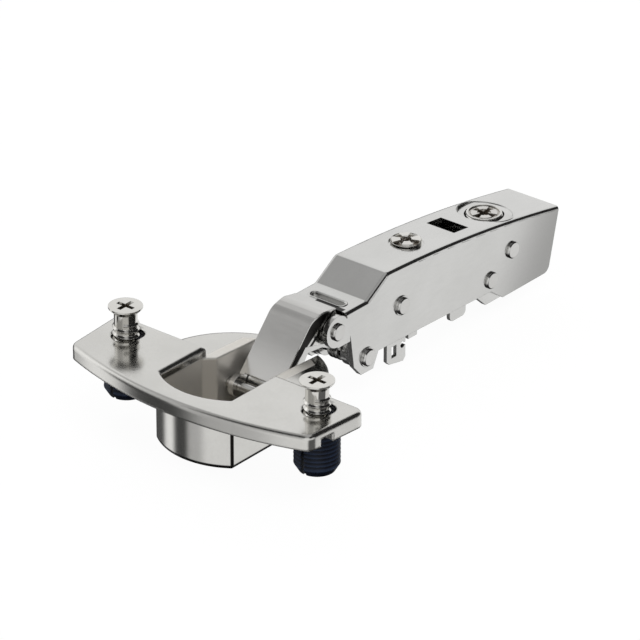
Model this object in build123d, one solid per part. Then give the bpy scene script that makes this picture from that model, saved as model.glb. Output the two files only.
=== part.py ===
from build123d import *

# Concealed cup hinge for thick doors, clip-on type, modelled fully open.
#
# Millimetres.  The origin is on the cup's axis in the plane of the door's inner face, +X runs
# towards the arm, +Z points out of the door, and the two fixing dowels lie along Y.  Side views
# are drawn in the XZ plane and extruded along Y, because every link, pin and channel of the hinge
# has that plane as its own.
import os
from math import cos, hypot, radians, sin, tan

# ---------------------------------------------------------------- cup and flange
CUP_RADIUS = 17.4            # fits a 35 mm bore
CUP_DEPTH = 12.6
CUP_HALF_WIDTH = 10.4        # the two flats beside the mechanism
CUP_WALL = 1.0
CUP_FLAT_WALL = 0.9
CUP_FLOOR = 1.0
CUP_FOOT_ROUND = 0.8
FLANGE_THICKNESS = 3.4
FLANGE_SKIN = 1.5
FLANGE_WALL = 2.3
FLANGE_HUB = 3.4             # solid ring left round the cup
FLANGE_FRONT = -21.6         # foremost point of the curved front edge
FLANGE_FRONT_RADIUS = 92.0
FLANGE_REAR = 1.0
FLANGE_FRONT_HALF = 32.5     # half length at the front corners
FLANGE_REAR_HALF = 33.9      # half length at the rear corners
FLANGE_CORNER_ROUND = 2.4
FLANGE_EDGE_ROUND = 1.0      # top edges of the flange and the cup's mouth
END_NOTCH_CENTRE = -10.7
END_NOTCH_WIDTH = 3.6
END_NOTCH_HEIGHT = 1.8
LEDGE_RADIUS = 19.0          # rear ledges lap over the edge of the bore
LEDGE_FRONT_TOP = 1.2        # their tops slope down to the rear
LEDGE_REAR_TOP = 0.25
CHANNEL_HALF = 7.2           # slot between the ledges that the links run in
CHEEK_FRONT = -0.3           # slanted front of the cheeks beside the channel, at the wall
CHANNEL_FRONT = 1.9          # and at the channel
REAR_SILL = -4.3             # height of the rear wall under the links

# ---------------------------------------------------------------- fixing dowels and screws
DOWEL_SPACING = 52.0
DOWEL_SETBACK = 5.5          # dowel line ahead of the cup's axis
DOWEL_RADIUS = 4.9
DOWEL_NECK_RADIUS = 4.5      # the part pressed into the flange
DOWEL_SHOULDER = 0.4         # cone between the neck and the ribbed part
DOWEL_BOTTOM = -10.2
DOWEL_TIP_TAPER = 1.7
DOWEL_RIB_DEPTH = 0.4
DOWEL_RIB_COUNT = 8
DOWEL_RIB_PITCH = 0.96
DOWEL_RIB_START = -0.7
DOWEL_SPLIT = 0.8
DOWEL_SPLIT_TOP = -2.0
BOSS_WALL = 1.3
SCREW_HEAD_RADIUS = 3.7
SCREW_HEAD_RIM = 0.35
SCREW_HEAD_CONE = 1.2
SCREW_HEAD_TOP = 10.3
SCREW_SHANK_RADIUS = 2.5
SCREW_SHANK_LENGTH = 3.1
SCREW_THREAD_RADIUS = 2.85
SCREW_THREAD_LENGTH = 8.3
SCREW_TIP_LENGTH = 1.0
SCREW_TIP_RADIUS = 1.6
SCREW_HOLE_CLEARANCE = 0.3
SCREW_HOLE_TRAVEL = 1.2      # the hole is a short slot towards the arm
SCREW_HOLE_CHAMFER = 0.3
DOWEL_BORE_CLEARANCE = 0.1
DOWEL_SEAT_CLEARANCE = 0.05

# ---------------------------------------------------------------- link pivots at the open position
STRAP_PIVOT = (5.7, -6.0)    # front cup pin
BACK_PIVOT = (10.0, -6.0)    # rear cup pin
UPPER_PIVOT = (23.9, 3.3)    # strap to arm
LOWER_PIVOT = (33.9, -6.6)   # inner link to arm
CUP_PIN_RADIUS = 1.15
CUP_PIN_END_GAP = 0.1
LINK_PIN_RADIUS = 1.6
RUNNING_CLEARANCE = 0.05
PRESS_CLEARANCE = 0.02
RIVET_RADIUS = 1.5
RIVET_HEAD_RADIUS = 1.95
RIVET_HEAD_HEIGHT = 0.65
RIVET_COLLAR_RADIUS = 2.25
RIVET_COLLAR_HEIGHT = 0.22
HEAD_EDGE_CHAMFER = 0.25

# ---------------------------------------------------------------- outer link: the visible strap
STRAP_FOOT = (7.4, -3.6)     # lower edge of the strap's face
STRAP_SLOPE = 47.8           # degrees
STRAP_FACE_LENGTH = 14.9
STRAP_CROWN = (21.2, 8.45)
STRAP_TAIL = (25.5, 7.7)
STRAP_SHEET = 1.1
STRAP_HALF_WIDTH = 5.5
STRAP_EAR = 1.3
STRAP_EAR_DEPTH = 2.1
STRAP_FOOT_EYE_RADIUS = 2.5
STRAP_TOP_EYE_RADIUS = 3.1
STRAP_BEND_ROUND = 4.0

# ---------------------------------------------------------------- inner link
INNER_SHEET = 2.1
INNER_KNEE = (14.3, -4.2)
INNER_SHOULDER = (17.7, 0.6)
INNER_CROWN = (23.2, 0.0)
INNER_HALF_WIDTH = 4.0
INNER_WIDE_HALF = 4.6
INNER_WIDE_FROM = 20.2
INNER_FOOT_EYE_RADIUS = 2.15
INNER_FORK_CHEEK = 1.5
OPEN_PIVOT_OFFSET = 0.88     # the linkage is opened at the lower arm pin
OPEN_PIVOT_CLEARANCE = 0.08
OPEN_PIVOT_EYE_WALL = 1.2

# ---------------------------------------------------------------- arm housing
ARM_HALF_WIDTH = 7.4
ARM_SHEET = 1.2
ARM_EDGE_ROUND = 0.9
ARM_BEND_ROUND = 1.6         # foot and top of the ramp
ARM_FRONT = 26.9
ARM_NECK_Z = 6.5             # low flat over the link pins
ARM_RAMP_FOOT_X = 34.0
ARM_RAMP_TOP = (40.7, 10.6)
ARM_TOP_MIDDLE = (72.0, 8.2)
ARM_TOP_REAR = (101.2, 3.7)
ARM_REAR_FOOT_X = 97.7
ARM_REAR_BOTTOM = -11.0
ARM_REAR_ROUND = 2.0
ARM_STEP_REAR_X = 81.2
ARM_STEP_FRONT_X = 76.9
ARM_FRONT_BOTTOM = -7.9      # lower edge ahead of the step
ARM_ROOT_BOTTOM = -6.6       # lower edge at the root of the front lug
ARM_NOSE_RADIUS = 3.6
LUG_FRONT_TOP = (28.4, -0.6)
LUG_FRONT_FOOT = (29.4, -7.4)
LUG_TIP = (31.8, -10.1)
LUG_TIP_REAR = (35.9, -10.2)
LUG_BACK_X = 37.7
NECK_SLOT_CENTRE = 29.6
NECK_SLOT_WIDTH = 2.2
NECK_SLOT_HALF = 4.6
WINDOW_FRONT = 68.0
WINDOW_REAR = 73.1
WINDOW_HALF = 3.8
RIVETS = ((45.5, 1.1), (76.8, -5.05), (84.2, -0.45))

# ---------------------------------------------------------------- inner carrier of the arm
CARRIER_GAP = 0.15
CARRIER_FRONT_TOP = 29.6
CARRIER_FRONT_FOOT = 30.2
CARRIER_FRONT_TOP_Z = 0.4
CARRIER_BOTTOM_GAP = 0.2     # inside the housing's lower edge, ahead of the step
CARRIER_REAR_BOTTOM = -11.6  # and past it behind the step
CARRIER_LUG_BOTTOM = -9.6
CARRIER_WEB_TOP = 4.2
CARRIER_WEB_FRONT = 41.5
CARRIER_WEB_REAR = 88.0
CARRIER_REAR = 96.0
CARRIER_REAR_TOP = 1.5
CARRIER_STEP_LEAD = 4.4      # its step lies ahead of the housing's
CARRIER_TILT_LIMIT = 1.2     # degrees, side adjustment
CARRIER_TILT_MARGIN = 0.12

# ---------------------------------------------------------------- clip channel
CLIP_GAP = 0.2
CLIP_SHEET = 0.9
CLIP_WEB_GAP = 0.25
CLIP_WEB_SHEET = 1.0
CLIP_WEB_FRONT = 50.0
CLIP_WEB_REAR = 89.0
CLIP_FRONT = 44.0
CLIP_REAR = 94.2
CLIP_BELLY = -7.3
CLIP_REAR_BOTTOM = -10.9
CLIP_FRONT_TOP = -1.6
HOOK_REAR = 50.4
HOOK_FRONT_BOTTOM = -13.9
HOOK_REAR_BOTTOM = -14.8
HOOK_CORNER = 0.8
HOOK_WINDOW = (45.6, 47.3, -12.7, -10.0)
HOOK_NOTCH = (49.4, -10.8)
HOOK_NOTCH_RADIUS = 0.75
TAB_SMALL = (51.4, 54.4, -10.3)
TAB_LARGE = (65.9, 71.5, -12.1)
TAB_ROUND = 1.2
DEPTH_TRAVEL = 1.56          # each way, by the cam
SLOT_MARGIN = 0.15

# ---------------------------------------------------------------- adjusters
SIDE_SCREW_X = 56.1
SIDE_SCREW_RADIUS = 2.0
SIDE_SCREW_TIP = 2.95
SIDE_SCREW_HEAD_RADIUS = 3.4
SIDE_SCREW_HEAD_HEIGHT = 1.3
SIDE_SCREW_DISH_RADIUS = 3.9
SIDE_SCREW_DISH_DEPTH = 0.35
CAM_X = 83.6
CAM_RADIUS = 4.1
CAM_TOP_DROP = 0.25
CAM_DISH_RADIUS = 6.2
CAM_DISH_DEPTH = 0.5
CAM_HOLE_CLEARANCE = 0.35
CAM_NECK_WALL = 0.1          # neck past the eccentric pin
CAM_THROW = 1.8
CAM_PIN_RADIUS = 1.3
CAM_NECK_RADIUS = CAM_THROW + CAM_PIN_RADIUS + CAM_NECK_WALL
CAM_SLOT_CLEARANCE = 0.2
CROSS_SPAN = 4.4
CROSS_SLOT = 1.0
CROSS_DEPTH = 1.3

# ---------------------------------------------------------------- release lever and springs
RELEASE_PIVOT = (90.2, -5.6)
RELEASE_PIN_RADIUS = 1.2
RELEASE_HALF_WIDTH = 3.2
RELEASE_CHEEK = 1.3
RELEASE_BOSS_RADIUS = 2.5
RELEASE_HOOK = (83.6, -10.3)
RELEASE_THUMB = (95.6, 0.2)
RELEASE_BAR = 2.0
SPRING_WIRE = 0.9
SPRING_TURNS = 3
SPRING_PIN_GAP = 0.25
SPRING_LEG = 5.0
SPRING_LEG_ANGLE = 100
SPRING_WIRE_FACETS = 8
RELEASE_SPRING_WIRE = 0.6
RELEASE_SPRING_LEG = 2.6
RELEASE_SPRING_LEG_ANGLE = 60
WASHER_THICKNESS = 0.5
WASHER_RADIUS = 3.0

DOWEL_X = -DOWEL_SETBACK
DOWEL_SIDES = {"left": DOWEL_SPACING / 2, "right": -DOWEL_SPACING / 2}
FAR = 200.0                  # cutter reach past every solid


# ---------------------------------------------------------------- drawing helpers
def side_plate(sketch, y_low, y_high):
    """Extrude a side view, drawn in x and z, between two values of y."""
    placed = Plane.XZ.offset(-y_high) * sketch
    return extrude(placed, amount=y_high - y_low)


def both_sides(sketch, y_inner, y_outer):
    """Two mirrored plates with the same side view."""
    return side_plate(sketch, y_inner, y_outer) + side_plate(sketch, -y_outer, -y_inner)


def floor_plate(sketch, z_low, z_high):
    """Extrude a plan view between two heights."""
    return extrude(Plane.XY.offset(z_low) * sketch, amount=z_high - z_low)


def outline(*points):
    """Closed straight-sided region."""
    return make_face(Polyline(*points, close=True))


def disc(centre, radius):
    """Round region at a point of the side view."""
    return Pos(*centre) * Circle(radius)


def box_region(x_low, x_high, z_low, z_high):
    """Upright rectangular region of the side view."""
    middle = ((x_low + x_high) / 2, (z_low + z_high) / 2)
    return Pos(*middle) * Rectangle(x_high - x_low, z_high - z_low)


def slot_region(centre, half_travel, radius):
    """Slot along x for something round that slides by half_travel each way."""
    x, z = centre
    return disc((x - half_travel, z), radius) + disc((x + half_travel, z), radius) + box_region(
        x - half_travel, x + half_travel, z - radius, z + radius)


def along(start, angle, distance):
    """Point at a distance from start, at an angle in degrees from +x."""
    return (start[0] + distance * cos(radians(angle)), start[1] + distance * sin(radians(angle)))


def cross_pin(centre, radius, half_length):
    """Plain round pin along y."""
    return side_plate(disc(centre, radius), -half_length, half_length)


def headed_pin(centre, radius, grip_half, collar):
    """Pin along y, closed by a low rounded head on each outer wall."""
    pin = cross_pin(centre, radius, grip_half + RIVET_HEAD_HEIGHT / 2)
    for side in (1, -1):
        seat = grip_half + PRESS_CLEARANCE
        if collar:
            ring = side_plate(disc(centre, RIVET_COLLAR_RADIUS), seat, seat + RIVET_COLLAR_HEIGHT)
            pin += ring if side > 0 else mirror(ring, Plane.XZ)
            seat += RIVET_COLLAR_HEIGHT
        head = side_plate(disc(centre, RIVET_HEAD_RADIUS), seat, seat + RIVET_HEAD_HEIGHT)
        rim = head.edges().sort_by(Axis.Y)[-1]
        head = chamfer(rim, HEAD_EDGE_CHAMFER)
        pin += head if side > 0 else mirror(head, Plane.XZ)
    return pin


def cross_recess(span, slot, depth):
    """Cutter for a cross-shaped driver recess, mouth at z = 0."""
    blade = loft([
        Rectangle(span, slot),
        Pos(0, 0, -depth) * Rectangle(span * 0.45, slot * 0.7),
    ])
    return blade + Rot(0, 0, 90) * blade


def sheet_path(points, radii, thickness):
    """Side view of a sheet that follows a line of points, bent to the radii at its middle."""
    middle = FilletPolyline(*points, radius=radii)
    return trace(middle, thickness)


def torsion_coil(centre, wire, inner_radius, leg_length, leg_angle):
    """Torsion spring wound about y, with a straight leg at each end."""
    mean = inner_radius + wire / 2
    pitch = wire * 1.12
    height = pitch * SPRING_TURNS
    coil_path = Helix(pitch=pitch, height=height, radius=mean)
    section = RegularPolygon(wire / 2, SPRING_WIRE_FACETS)
    coil = sweep(Plane(origin=coil_path @ 0, z_dir=coil_path % 0) * section, path=coil_path)
    for position, outwards in ((0, -1), (1, 1)):
        heading = (coil_path % position) * outwards
        face = Plane(origin=coil_path @ position, z_dir=heading) * section
        coil += extrude(face, amount=leg_length)
    turned = Rot(0, 0, leg_angle) * Pos(0, 0, -height / 2) * coil
    return Pos(centre[0], 0, centre[1]) * Rot(90, 0, 0) * turned


# ---------------------------------------------------------------- cup group
def flange_plan(inset):
    """Flange seen from above: bowed front, flared ends, straight rear."""
    radius = FLANGE_FRONT_RADIUS - inset
    centre_x = FLANGE_FRONT + FLANGE_FRONT_RADIUS
    front_half = FLANGE_FRONT_HALF - inset
    corner_x = centre_x - (radius ** 2 - front_half ** 2) ** 0.5
    rear_half = FLANGE_REAR_HALF - inset
    rear_x = FLANGE_REAR - inset
    middle = (FLANGE_FRONT + inset, 0)
    edges = [
        ThreePointArc((corner_x, -front_half), middle, (corner_x, front_half)),
        Line((corner_x, front_half), (rear_x, rear_half)),
        Line((rear_x, rear_half), (rear_x, -rear_half)),
        Line((rear_x, -rear_half), (corner_x, -front_half)),
    ]
    plan = make_face(edges)
    return fillet(plan.vertices(), FLANGE_CORNER_ROUND - inset * 0.5)


def cup_mouth_plan():
    """Inside of the cup's round and flat walls."""
    return Circle(CUP_RADIUS - CUP_WALL) & Rectangle(FAR, 2 * (CUP_HALF_WIDTH - CUP_FLAT_WALL))


def cup_well_plan():
    """The part of it ahead of the two cheeks that hold the pins."""
    half = CUP_HALF_WIDTH - CUP_FLAT_WALL
    front = outline(
        (-FAR, FAR), (CHEEK_FRONT, FAR), (CHEEK_FRONT, half), (CHANNEL_FRONT, CHANNEL_HALF),
        (CHANNEL_FRONT, -CHANNEL_HALF), (CHEEK_FRONT, -half), (CHEEK_FRONT, -FAR), (-FAR, -FAR))
    return cup_mouth_plan() & front


def make_cup():
    """Die-cast cup with its flange, rear ledges, dowel bosses and pin bores, all one casting."""
    cup_plan = Circle(CUP_RADIUS) & Rectangle(FAR, 2 * CUP_HALF_WIDTH)
    body = floor_plate(cup_plan, -CUP_DEPTH, 0)
    foot = body.edges().group_by(Axis.Z)[0]
    body = fillet(foot, CUP_FOOT_ROUND)

    flange = floor_plate(flange_plan(0), 0, FLANGE_THICKNESS)
    flange -= floor_plate(cup_mouth_plan(), -1, FLANGE_THICKNESS + 1)
    flange = fillet(flange.edges().group_by(Axis.Z)[-1], FLANGE_EDGE_ROUND)
    hollow = floor_plate(flange_plan(FLANGE_WALL), -1, FLANGE_THICKNESS - FLANGE_SKIN)
    hollow -= floor_plate(Circle(CUP_RADIUS + FLANGE_HUB), -1, FLANGE_THICKNESS)
    for y in DOWEL_SIDES.values():
        boss = Pos(DOWEL_X, y) * Circle(DOWEL_RADIUS + BOSS_WALL)
        hollow -= floor_plate(boss, -1, FLANGE_THICKNESS)
    flange -= hollow

    ledge_side = outline((CHEEK_FRONT, 0), (LEDGE_RADIUS, 0), (LEDGE_RADIUS, LEDGE_REAR_TOP),
                         (FLANGE_REAR, LEDGE_FRONT_TOP), (CHEEK_FRONT, LEDGE_FRONT_TOP))
    ledge = floor_plate(Circle(LEDGE_RADIUS), 0, FLANGE_THICKNESS) & side_plate(ledge_side, -FAR, FAR)
    well = floor_plate(cup_well_plan(), CUP_FLOOR - CUP_DEPTH, FLANGE_THICKNESS + 1)
    casting = (body + ledge - well) + flange

    channel_plan = Circle(CUP_RADIUS - CUP_WALL) & (
        Pos(FAR / 2, 0) * Rectangle(FAR, 2 * CHANNEL_HALF))
    casting -= floor_plate(channel_plan, CUP_FLOOR - CUP_DEPTH, FLANGE_THICKNESS + 1)
    sill = Pos(CUP_RADIUS, 0) * Rectangle(CUP_RADIUS, 2 * CHANNEL_HALF)
    casting -= floor_plate(sill, REAR_SILL, FLANGE_THICKNESS + 1)

    for centre in (STRAP_PIVOT, BACK_PIVOT):
        casting -= cross_pin(centre, CUP_PIN_RADIUS + PRESS_CLEARANCE, FAR)
    for side, y in DOWEL_SIDES.items():
        casting -= dowel_opening(y)
        notch = Pos(END_NOTCH_CENTRE, y / abs(y) * FLANGE_REAR_HALF) * Rectangle(END_NOTCH_WIDTH, 6)
        casting -= floor_plate(notch, -1, END_NOTCH_HEIGHT)
    return casting


def dowel_opening(y):
    """Seat for one dowel under the flange, and the short chamfered slot above it for its screw."""
    seat_height = FLANGE_THICKNESS - FLANGE_SKIN
    neck_radius = DOWEL_NECK_RADIUS + DOWEL_SEAT_CLEARANCE
    mouth_radius = DOWEL_RADIUS + DOWEL_SEAT_CLEARANCE
    cutter = floor_plate(Pos(DOWEL_X, y) * Circle(neck_radius), -1, seat_height)
    cutter += Pos(DOWEL_X, y, DOWEL_SHOULDER / 2) * Cone(mouth_radius, neck_radius, DOWEL_SHOULDER)
    hole_radius = SCREW_THREAD_RADIUS + SCREW_HOLE_CLEARANCE
    middle = (DOWEL_X + SCREW_HOLE_TRAVEL / 2, y)
    hole = Pos(*middle) * SlotCenterToCenter(SCREW_HOLE_TRAVEL, 2 * hole_radius)
    cutter += floor_plate(hole, 0, FLANGE_THICKNESS)
    wide = Pos(*middle) * SlotCenterToCenter(SCREW_HOLE_TRAVEL, 2 * (hole_radius + SCREW_HOLE_CHAMFER))
    mouth = Plane.XY.offset(FLANGE_THICKNESS) * wide
    return cutter + extrude(mouth, amount=-SCREW_HOLE_CHAMFER, taper=45)


def make_dowel(y):
    """Split expanding dowel of dark plastic, pressed into the flange from below."""
    top = FLANGE_THICKNESS - FLANGE_SKIN - DOWEL_SEAT_CLEARANCE
    bore = SCREW_THREAD_RADIUS + DOWEL_BORE_CLEARANCE
    shoulder = DOWEL_SHOULDER - DOWEL_SEAT_CLEARANCE
    points = [
        (bore, top), (DOWEL_NECK_RADIUS, top), (DOWEL_NECK_RADIUS, shoulder),
        (DOWEL_RADIUS, -DOWEL_SEAT_CLEARANCE), (DOWEL_RADIUS, DOWEL_RIB_START)]
    for index in range(DOWEL_RIB_COUNT):
        z = DOWEL_RIB_START - index * DOWEL_RIB_PITCH
        points.append((DOWEL_RADIUS - DOWEL_RIB_DEPTH, z - 0.3 * DOWEL_RIB_PITCH))
        points.append((DOWEL_RADIUS, z - DOWEL_RIB_PITCH))
    points.append((DOWEL_RADIUS, DOWEL_BOTTOM + DOWEL_TIP_TAPER))
    points.append((DOWEL_RADIUS - DOWEL_TIP_TAPER * 0.6, DOWEL_BOTTOM))
    points.append((bore, DOWEL_BOTTOM))
    dowel = revolve(Plane.XZ * outline(*points), Axis.Z)
    mouth = SCREW_HEAD_RADIUS - bore
    dowel -= Pos(0, 0, top - mouth / 2) * Cone(bore, bore + mouth, mouth)
    split_height = DOWEL_SPLIT_TOP - DOWEL_BOTTOM
    middle = (DOWEL_SPLIT_TOP + DOWEL_BOTTOM) / 2
    dowel -= Pos(0, 0, middle) * Box(3 * DOWEL_RADIUS, DOWEL_SPLIT, split_height + 0.02)
    return Pos(DOWEL_X, y, 0) * dowel


def make_dowel_screw(y):
    """Countersunk cross-head screw, delivered standing proud of the flange."""
    cone_top = SCREW_HEAD_TOP - SCREW_HEAD_RIM
    shank_top = cone_top - SCREW_HEAD_CONE
    thread_top = shank_top - SCREW_SHANK_LENGTH
    thread_foot = thread_top - SCREW_THREAD_LENGTH
    profile = outline(
        (0, SCREW_HEAD_TOP),
        (SCREW_HEAD_RADIUS, SCREW_HEAD_TOP),
        (SCREW_HEAD_RADIUS, cone_top),
        (SCREW_SHANK_RADIUS, shank_top),
        (SCREW_SHANK_RADIUS, thread_top),
        (SCREW_THREAD_RADIUS, thread_top - 0.3),
        (SCREW_THREAD_RADIUS, thread_foot),
        (SCREW_TIP_RADIUS, thread_foot - SCREW_TIP_LENGTH),
        (0, thread_foot - SCREW_TIP_LENGTH),
    )
    screw = revolve(Plane.XZ * profile, Axis.Z)
    screw -= Pos(0, 0, SCREW_HEAD_TOP) * cross_recess(CROSS_SPAN, CROSS_SLOT, CROSS_DEPTH)
    return Pos(DOWEL_X, y, 0) * screw


def make_cup_pin(centre):
    """Pin pressed through both cheeks of the cup."""
    return cross_pin(centre, CUP_PIN_RADIUS, CUP_HALF_WIDTH - CUP_PIN_END_GAP)


# ---------------------------------------------------------------- links
def strap_point(distance, depth):
    """Point of the side view at a distance up the strap's face and a depth behind it."""
    on_face = along(STRAP_FOOT, STRAP_SLOPE, distance)
    return along(on_face, STRAP_SLOPE - 90, depth)


def make_outer_link():
    """Folded strap: a wide web whose two ears carry the front cup pin and the upper arm pin."""
    half = STRAP_SHEET / 2
    knee = strap_point(STRAP_FACE_LENGTH, half)
    crown = (STRAP_CROWN[0], STRAP_CROWN[1] - half)
    tail = (STRAP_TAIL[0], STRAP_TAIL[1] - half)
    bends = [STRAP_BEND_ROUND, STRAP_BEND_ROUND]
    web = sheet_path([strap_point(0, half), knee, crown, tail], bends, STRAP_SHEET)
    ear_outline = outline(
        strap_point(-3.0, 0),
        strap_point(STRAP_FACE_LENGTH - 1.5, 0),
        strap_point(STRAP_FACE_LENGTH + 0.6, 0.6),
        (STRAP_CROWN[0] - 1.2, STRAP_CROWN[1] - half),
        (STRAP_CROWN[0] + 1.2, STRAP_CROWN[1] - half),
        (STRAP_TAIL[0], STRAP_TAIL[1] - half),
        (UPPER_PIVOT[0] + STRAP_TOP_EYE_RADIUS, UPPER_PIVOT[1]),
        (UPPER_PIVOT[0], UPPER_PIVOT[1] - STRAP_TOP_EYE_RADIUS),
        strap_point(STRAP_FACE_LENGTH - 5.0, STRAP_EAR_DEPTH),
        strap_point(-1.5, STRAP_EAR_DEPTH),
    )
    ear = ear_outline + disc(UPPER_PIVOT, STRAP_TOP_EYE_RADIUS)
    ear += disc(STRAP_PIVOT, STRAP_FOOT_EYE_RADIUS)
    link = side_plate(web, -STRAP_HALF_WIDTH, STRAP_HALF_WIDTH)
    link += both_sides(ear, STRAP_HALF_WIDTH - STRAP_EAR, STRAP_HALF_WIDTH)
    link -= cross_pin(STRAP_PIVOT, CUP_PIN_RADIUS + RUNNING_CLEARANCE, FAR)
    link -= cross_pin(UPPER_PIVOT, LINK_PIN_RADIUS + RUNNING_CLEARANCE, FAR)
    return link


def open_eye_centre():
    """Centre of the inner link's oversize eye round the lower arm pin."""
    return (LOWER_PIVOT[0], LOWER_PIVOT[1] + OPEN_PIVOT_OFFSET)


def make_inner_link():
    """Gooseneck link: rolled eye on the rear cup pin, forked wide end on the lower arm pin."""
    eye = open_eye_centre()
    hole = LINK_PIN_RADIUS + OPEN_PIVOT_OFFSET + OPEN_PIVOT_CLEARANCE
    eye_radius = hole + OPEN_PIVOT_EYE_WALL
    points = [BACK_PIVOT, INNER_KNEE, INNER_SHOULDER, INNER_CROWN, eye]
    neck = sheet_path(points, [2.0, 2.0, 4.0], INNER_SHEET)
    link = side_plate(neck, -INNER_HALF_WIDTH, INNER_HALF_WIDTH)
    wide = neck & box_region(INNER_WIDE_FROM, eye[0], -FAR, FAR)
    link += side_plate(wide, -INNER_WIDE_HALF, INNER_WIDE_HALF)
    link += side_plate(disc(BACK_PIVOT, INNER_FOOT_EYE_RADIUS), -INNER_HALF_WIDTH, INNER_HALF_WIDTH)
    link += side_plate(disc(eye, eye_radius), -INNER_WIDE_HALF, INNER_WIDE_HALF)
    fork_half = INNER_WIDE_HALF - INNER_FORK_CHEEK
    link -= side_plate(disc(eye, eye_radius + 0.5), -fork_half, fork_half)
    link -= cross_pin(eye, hole, FAR)
    link -= cross_pin(BACK_PIVOT, CUP_PIN_RADIUS + RUNNING_CLEARANCE, FAR)
    return link


# ---------------------------------------------------------------- arm
def arm_top_edges(drop):
    """Top line of the arm from its front flat to its rear end, lowered by drop."""
    neck = (ARM_FRONT, ARM_NECK_Z - drop)
    ramp_foot = (ARM_RAMP_FOOT_X, ARM_NECK_Z - drop)
    ramp_top = (ARM_RAMP_TOP[0] + drop * 0.3, ARM_RAMP_TOP[1] - drop)
    middle = (ARM_TOP_MIDDLE[0], ARM_TOP_MIDDLE[1] - drop)
    rear = (ARM_TOP_REAR[0], ARM_TOP_REAR[1] - drop)
    return [Line(neck, ramp_foot), Line(ramp_foot, ramp_top), ThreePointArc(ramp_top, middle, rear)]


def round_bends(view, drop):
    """Round the foot and the top of the ramp in a side view whose top line is lowered by drop."""
    _, ramp, _ = arm_top_edges(drop)
    bends = [view.vertices().sort_by_distance(ramp @ position)[0] for position in (0, 1)]
    return fillet(bends, ARM_BEND_ROUND)


def arm_side_view():
    """Outline of the housing's walls, without the round nose."""
    top = arm_top_edges(0)
    start = top[0] @ 0
    end = top[-1] @ 1
    rear_foot = (ARM_REAR_FOOT_X, ARM_REAR_BOTTOM)
    lower = Polyline(
        (end.X, end.Y),
        rear_foot,
        (ARM_STEP_REAR_X, ARM_REAR_BOTTOM),
        (ARM_STEP_FRONT_X, ARM_FRONT_BOTTOM),
        (LUG_BACK_X, ARM_ROOT_BOTTOM),
        LUG_TIP_REAR,
        LUG_TIP,
        LUG_FRONT_FOOT,
        LUG_FRONT_TOP,
        (start.X, start.Y),
    )
    view = make_face(top + lower.edges())
    view = round_bends(view, 0)
    corner = view.vertices().sort_by_distance((ARM_REAR_FOOT_X, ARM_REAR_BOTTOM, 0))[0]
    return fillet(corner, ARM_REAR_ROUND)


def under_top_region(drop):
    """Everything below the arm's top line, lowered by drop."""
    top = arm_top_edges(drop)
    start = top[0] @ 0
    end = top[-1] @ 1
    low = -FAR / 4
    frame = Polyline(
        (end.X, end.Y), (FAR, end.Y), (FAR, low), (-FAR / 4, low), (-FAR / 4, start.Y), (start.X, start.Y))
    return round_bends(make_face(top + frame.edges()), drop)


def arm_top_height(x):
    """Height of the arm's curved top at x."""
    probe = arm_top_edges(0)[-1]
    low, high = 0.0, 1.0
    for _ in range(40):
        middle = (low + high) / 2
        if (probe @ middle).X < x:
            low = middle
        else:
            high = middle
    return (probe @ low).Y


def dished_hole(x, dish_radius, dish_depth, hole_radius):
    """Cutter for a round hole through the arm's top, with a shallow flat dish round it."""
    centre = Pos(x, 0)
    top = ARM_RAMP_TOP[1] + 1
    dish = floor_plate(centre * Circle(dish_radius), arm_top_height(x) - dish_depth, top)
    return dish + floor_plate(centre * Circle(hole_radius), CARRIER_WEB_TOP, top)


def make_arm_housing():
    """Folded sheet channel with a ramped neck, lugs for the link pins and the adjuster openings."""
    inner_half = ARM_HALF_WIDTH - ARM_SHEET
    housing = side_plate(arm_side_view(), -ARM_HALF_WIDTH, ARM_HALF_WIDTH)
    housing -= side_plate(under_top_region(ARM_SHEET), -inner_half, inner_half)
    nose = disc(UPPER_PIVOT, ARM_NOSE_RADIUS)
    bridge = box_region(UPPER_PIVOT[0], ARM_FRONT + ARM_SHEET, LUG_FRONT_TOP[1], ARM_NECK_Z - ARM_SHEET)
    cheek = nose + (bridge & under_top_region(ARM_SHEET))
    housing += both_sides(cheek, inner_half, ARM_HALF_WIDTH)

    neck_slot = Pos(NECK_SLOT_CENTRE, 0) * Rot(0, 0, 90) * SlotOverall(2 * NECK_SLOT_HALF, NECK_SLOT_WIDTH)
    housing -= floor_plate(neck_slot, ARM_NECK_Z - 2 * ARM_SHEET, ARM_NECK_Z + 1)
    window = Pos((WINDOW_FRONT + WINDOW_REAR) / 2, 0) * Rectangle(WINDOW_REAR - WINDOW_FRONT, 2 * WINDOW_HALF)
    housing -= floor_plate(window, CARRIER_WEB_TOP, FAR)
    shaft_radius = SIDE_SCREW_RADIUS + RUNNING_CLEARANCE
    housing -= dished_hole(SIDE_SCREW_X, SIDE_SCREW_DISH_RADIUS, SIDE_SCREW_DISH_DEPTH, shaft_radius)
    cam_radius = CAM_RADIUS + CAM_HOLE_CLEARANCE
    housing -= dished_hole(CAM_X, CAM_DISH_RADIUS, CAM_DISH_DEPTH, cam_radius)

    for centre in (UPPER_PIVOT, LOWER_PIVOT):
        housing -= cross_pin(centre, LINK_PIN_RADIUS + PRESS_CLEARANCE, FAR)
    for centre in RIVETS:
        housing -= cross_pin(centre, RIVET_RADIUS + PRESS_CLEARANCE, FAR)

    top_edges = [
        edge for edge in housing.edges()
        if abs(abs(edge.center().Y) - ARM_HALF_WIDTH) < 0.01
        and edge.center().Z > ARM_NECK_Z - 0.01
        and edge.bounding_box().size.X > 2 * ARM_EDGE_ROUND
    ]
    return fillet(top_edges, ARM_EDGE_ROUND)


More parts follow.
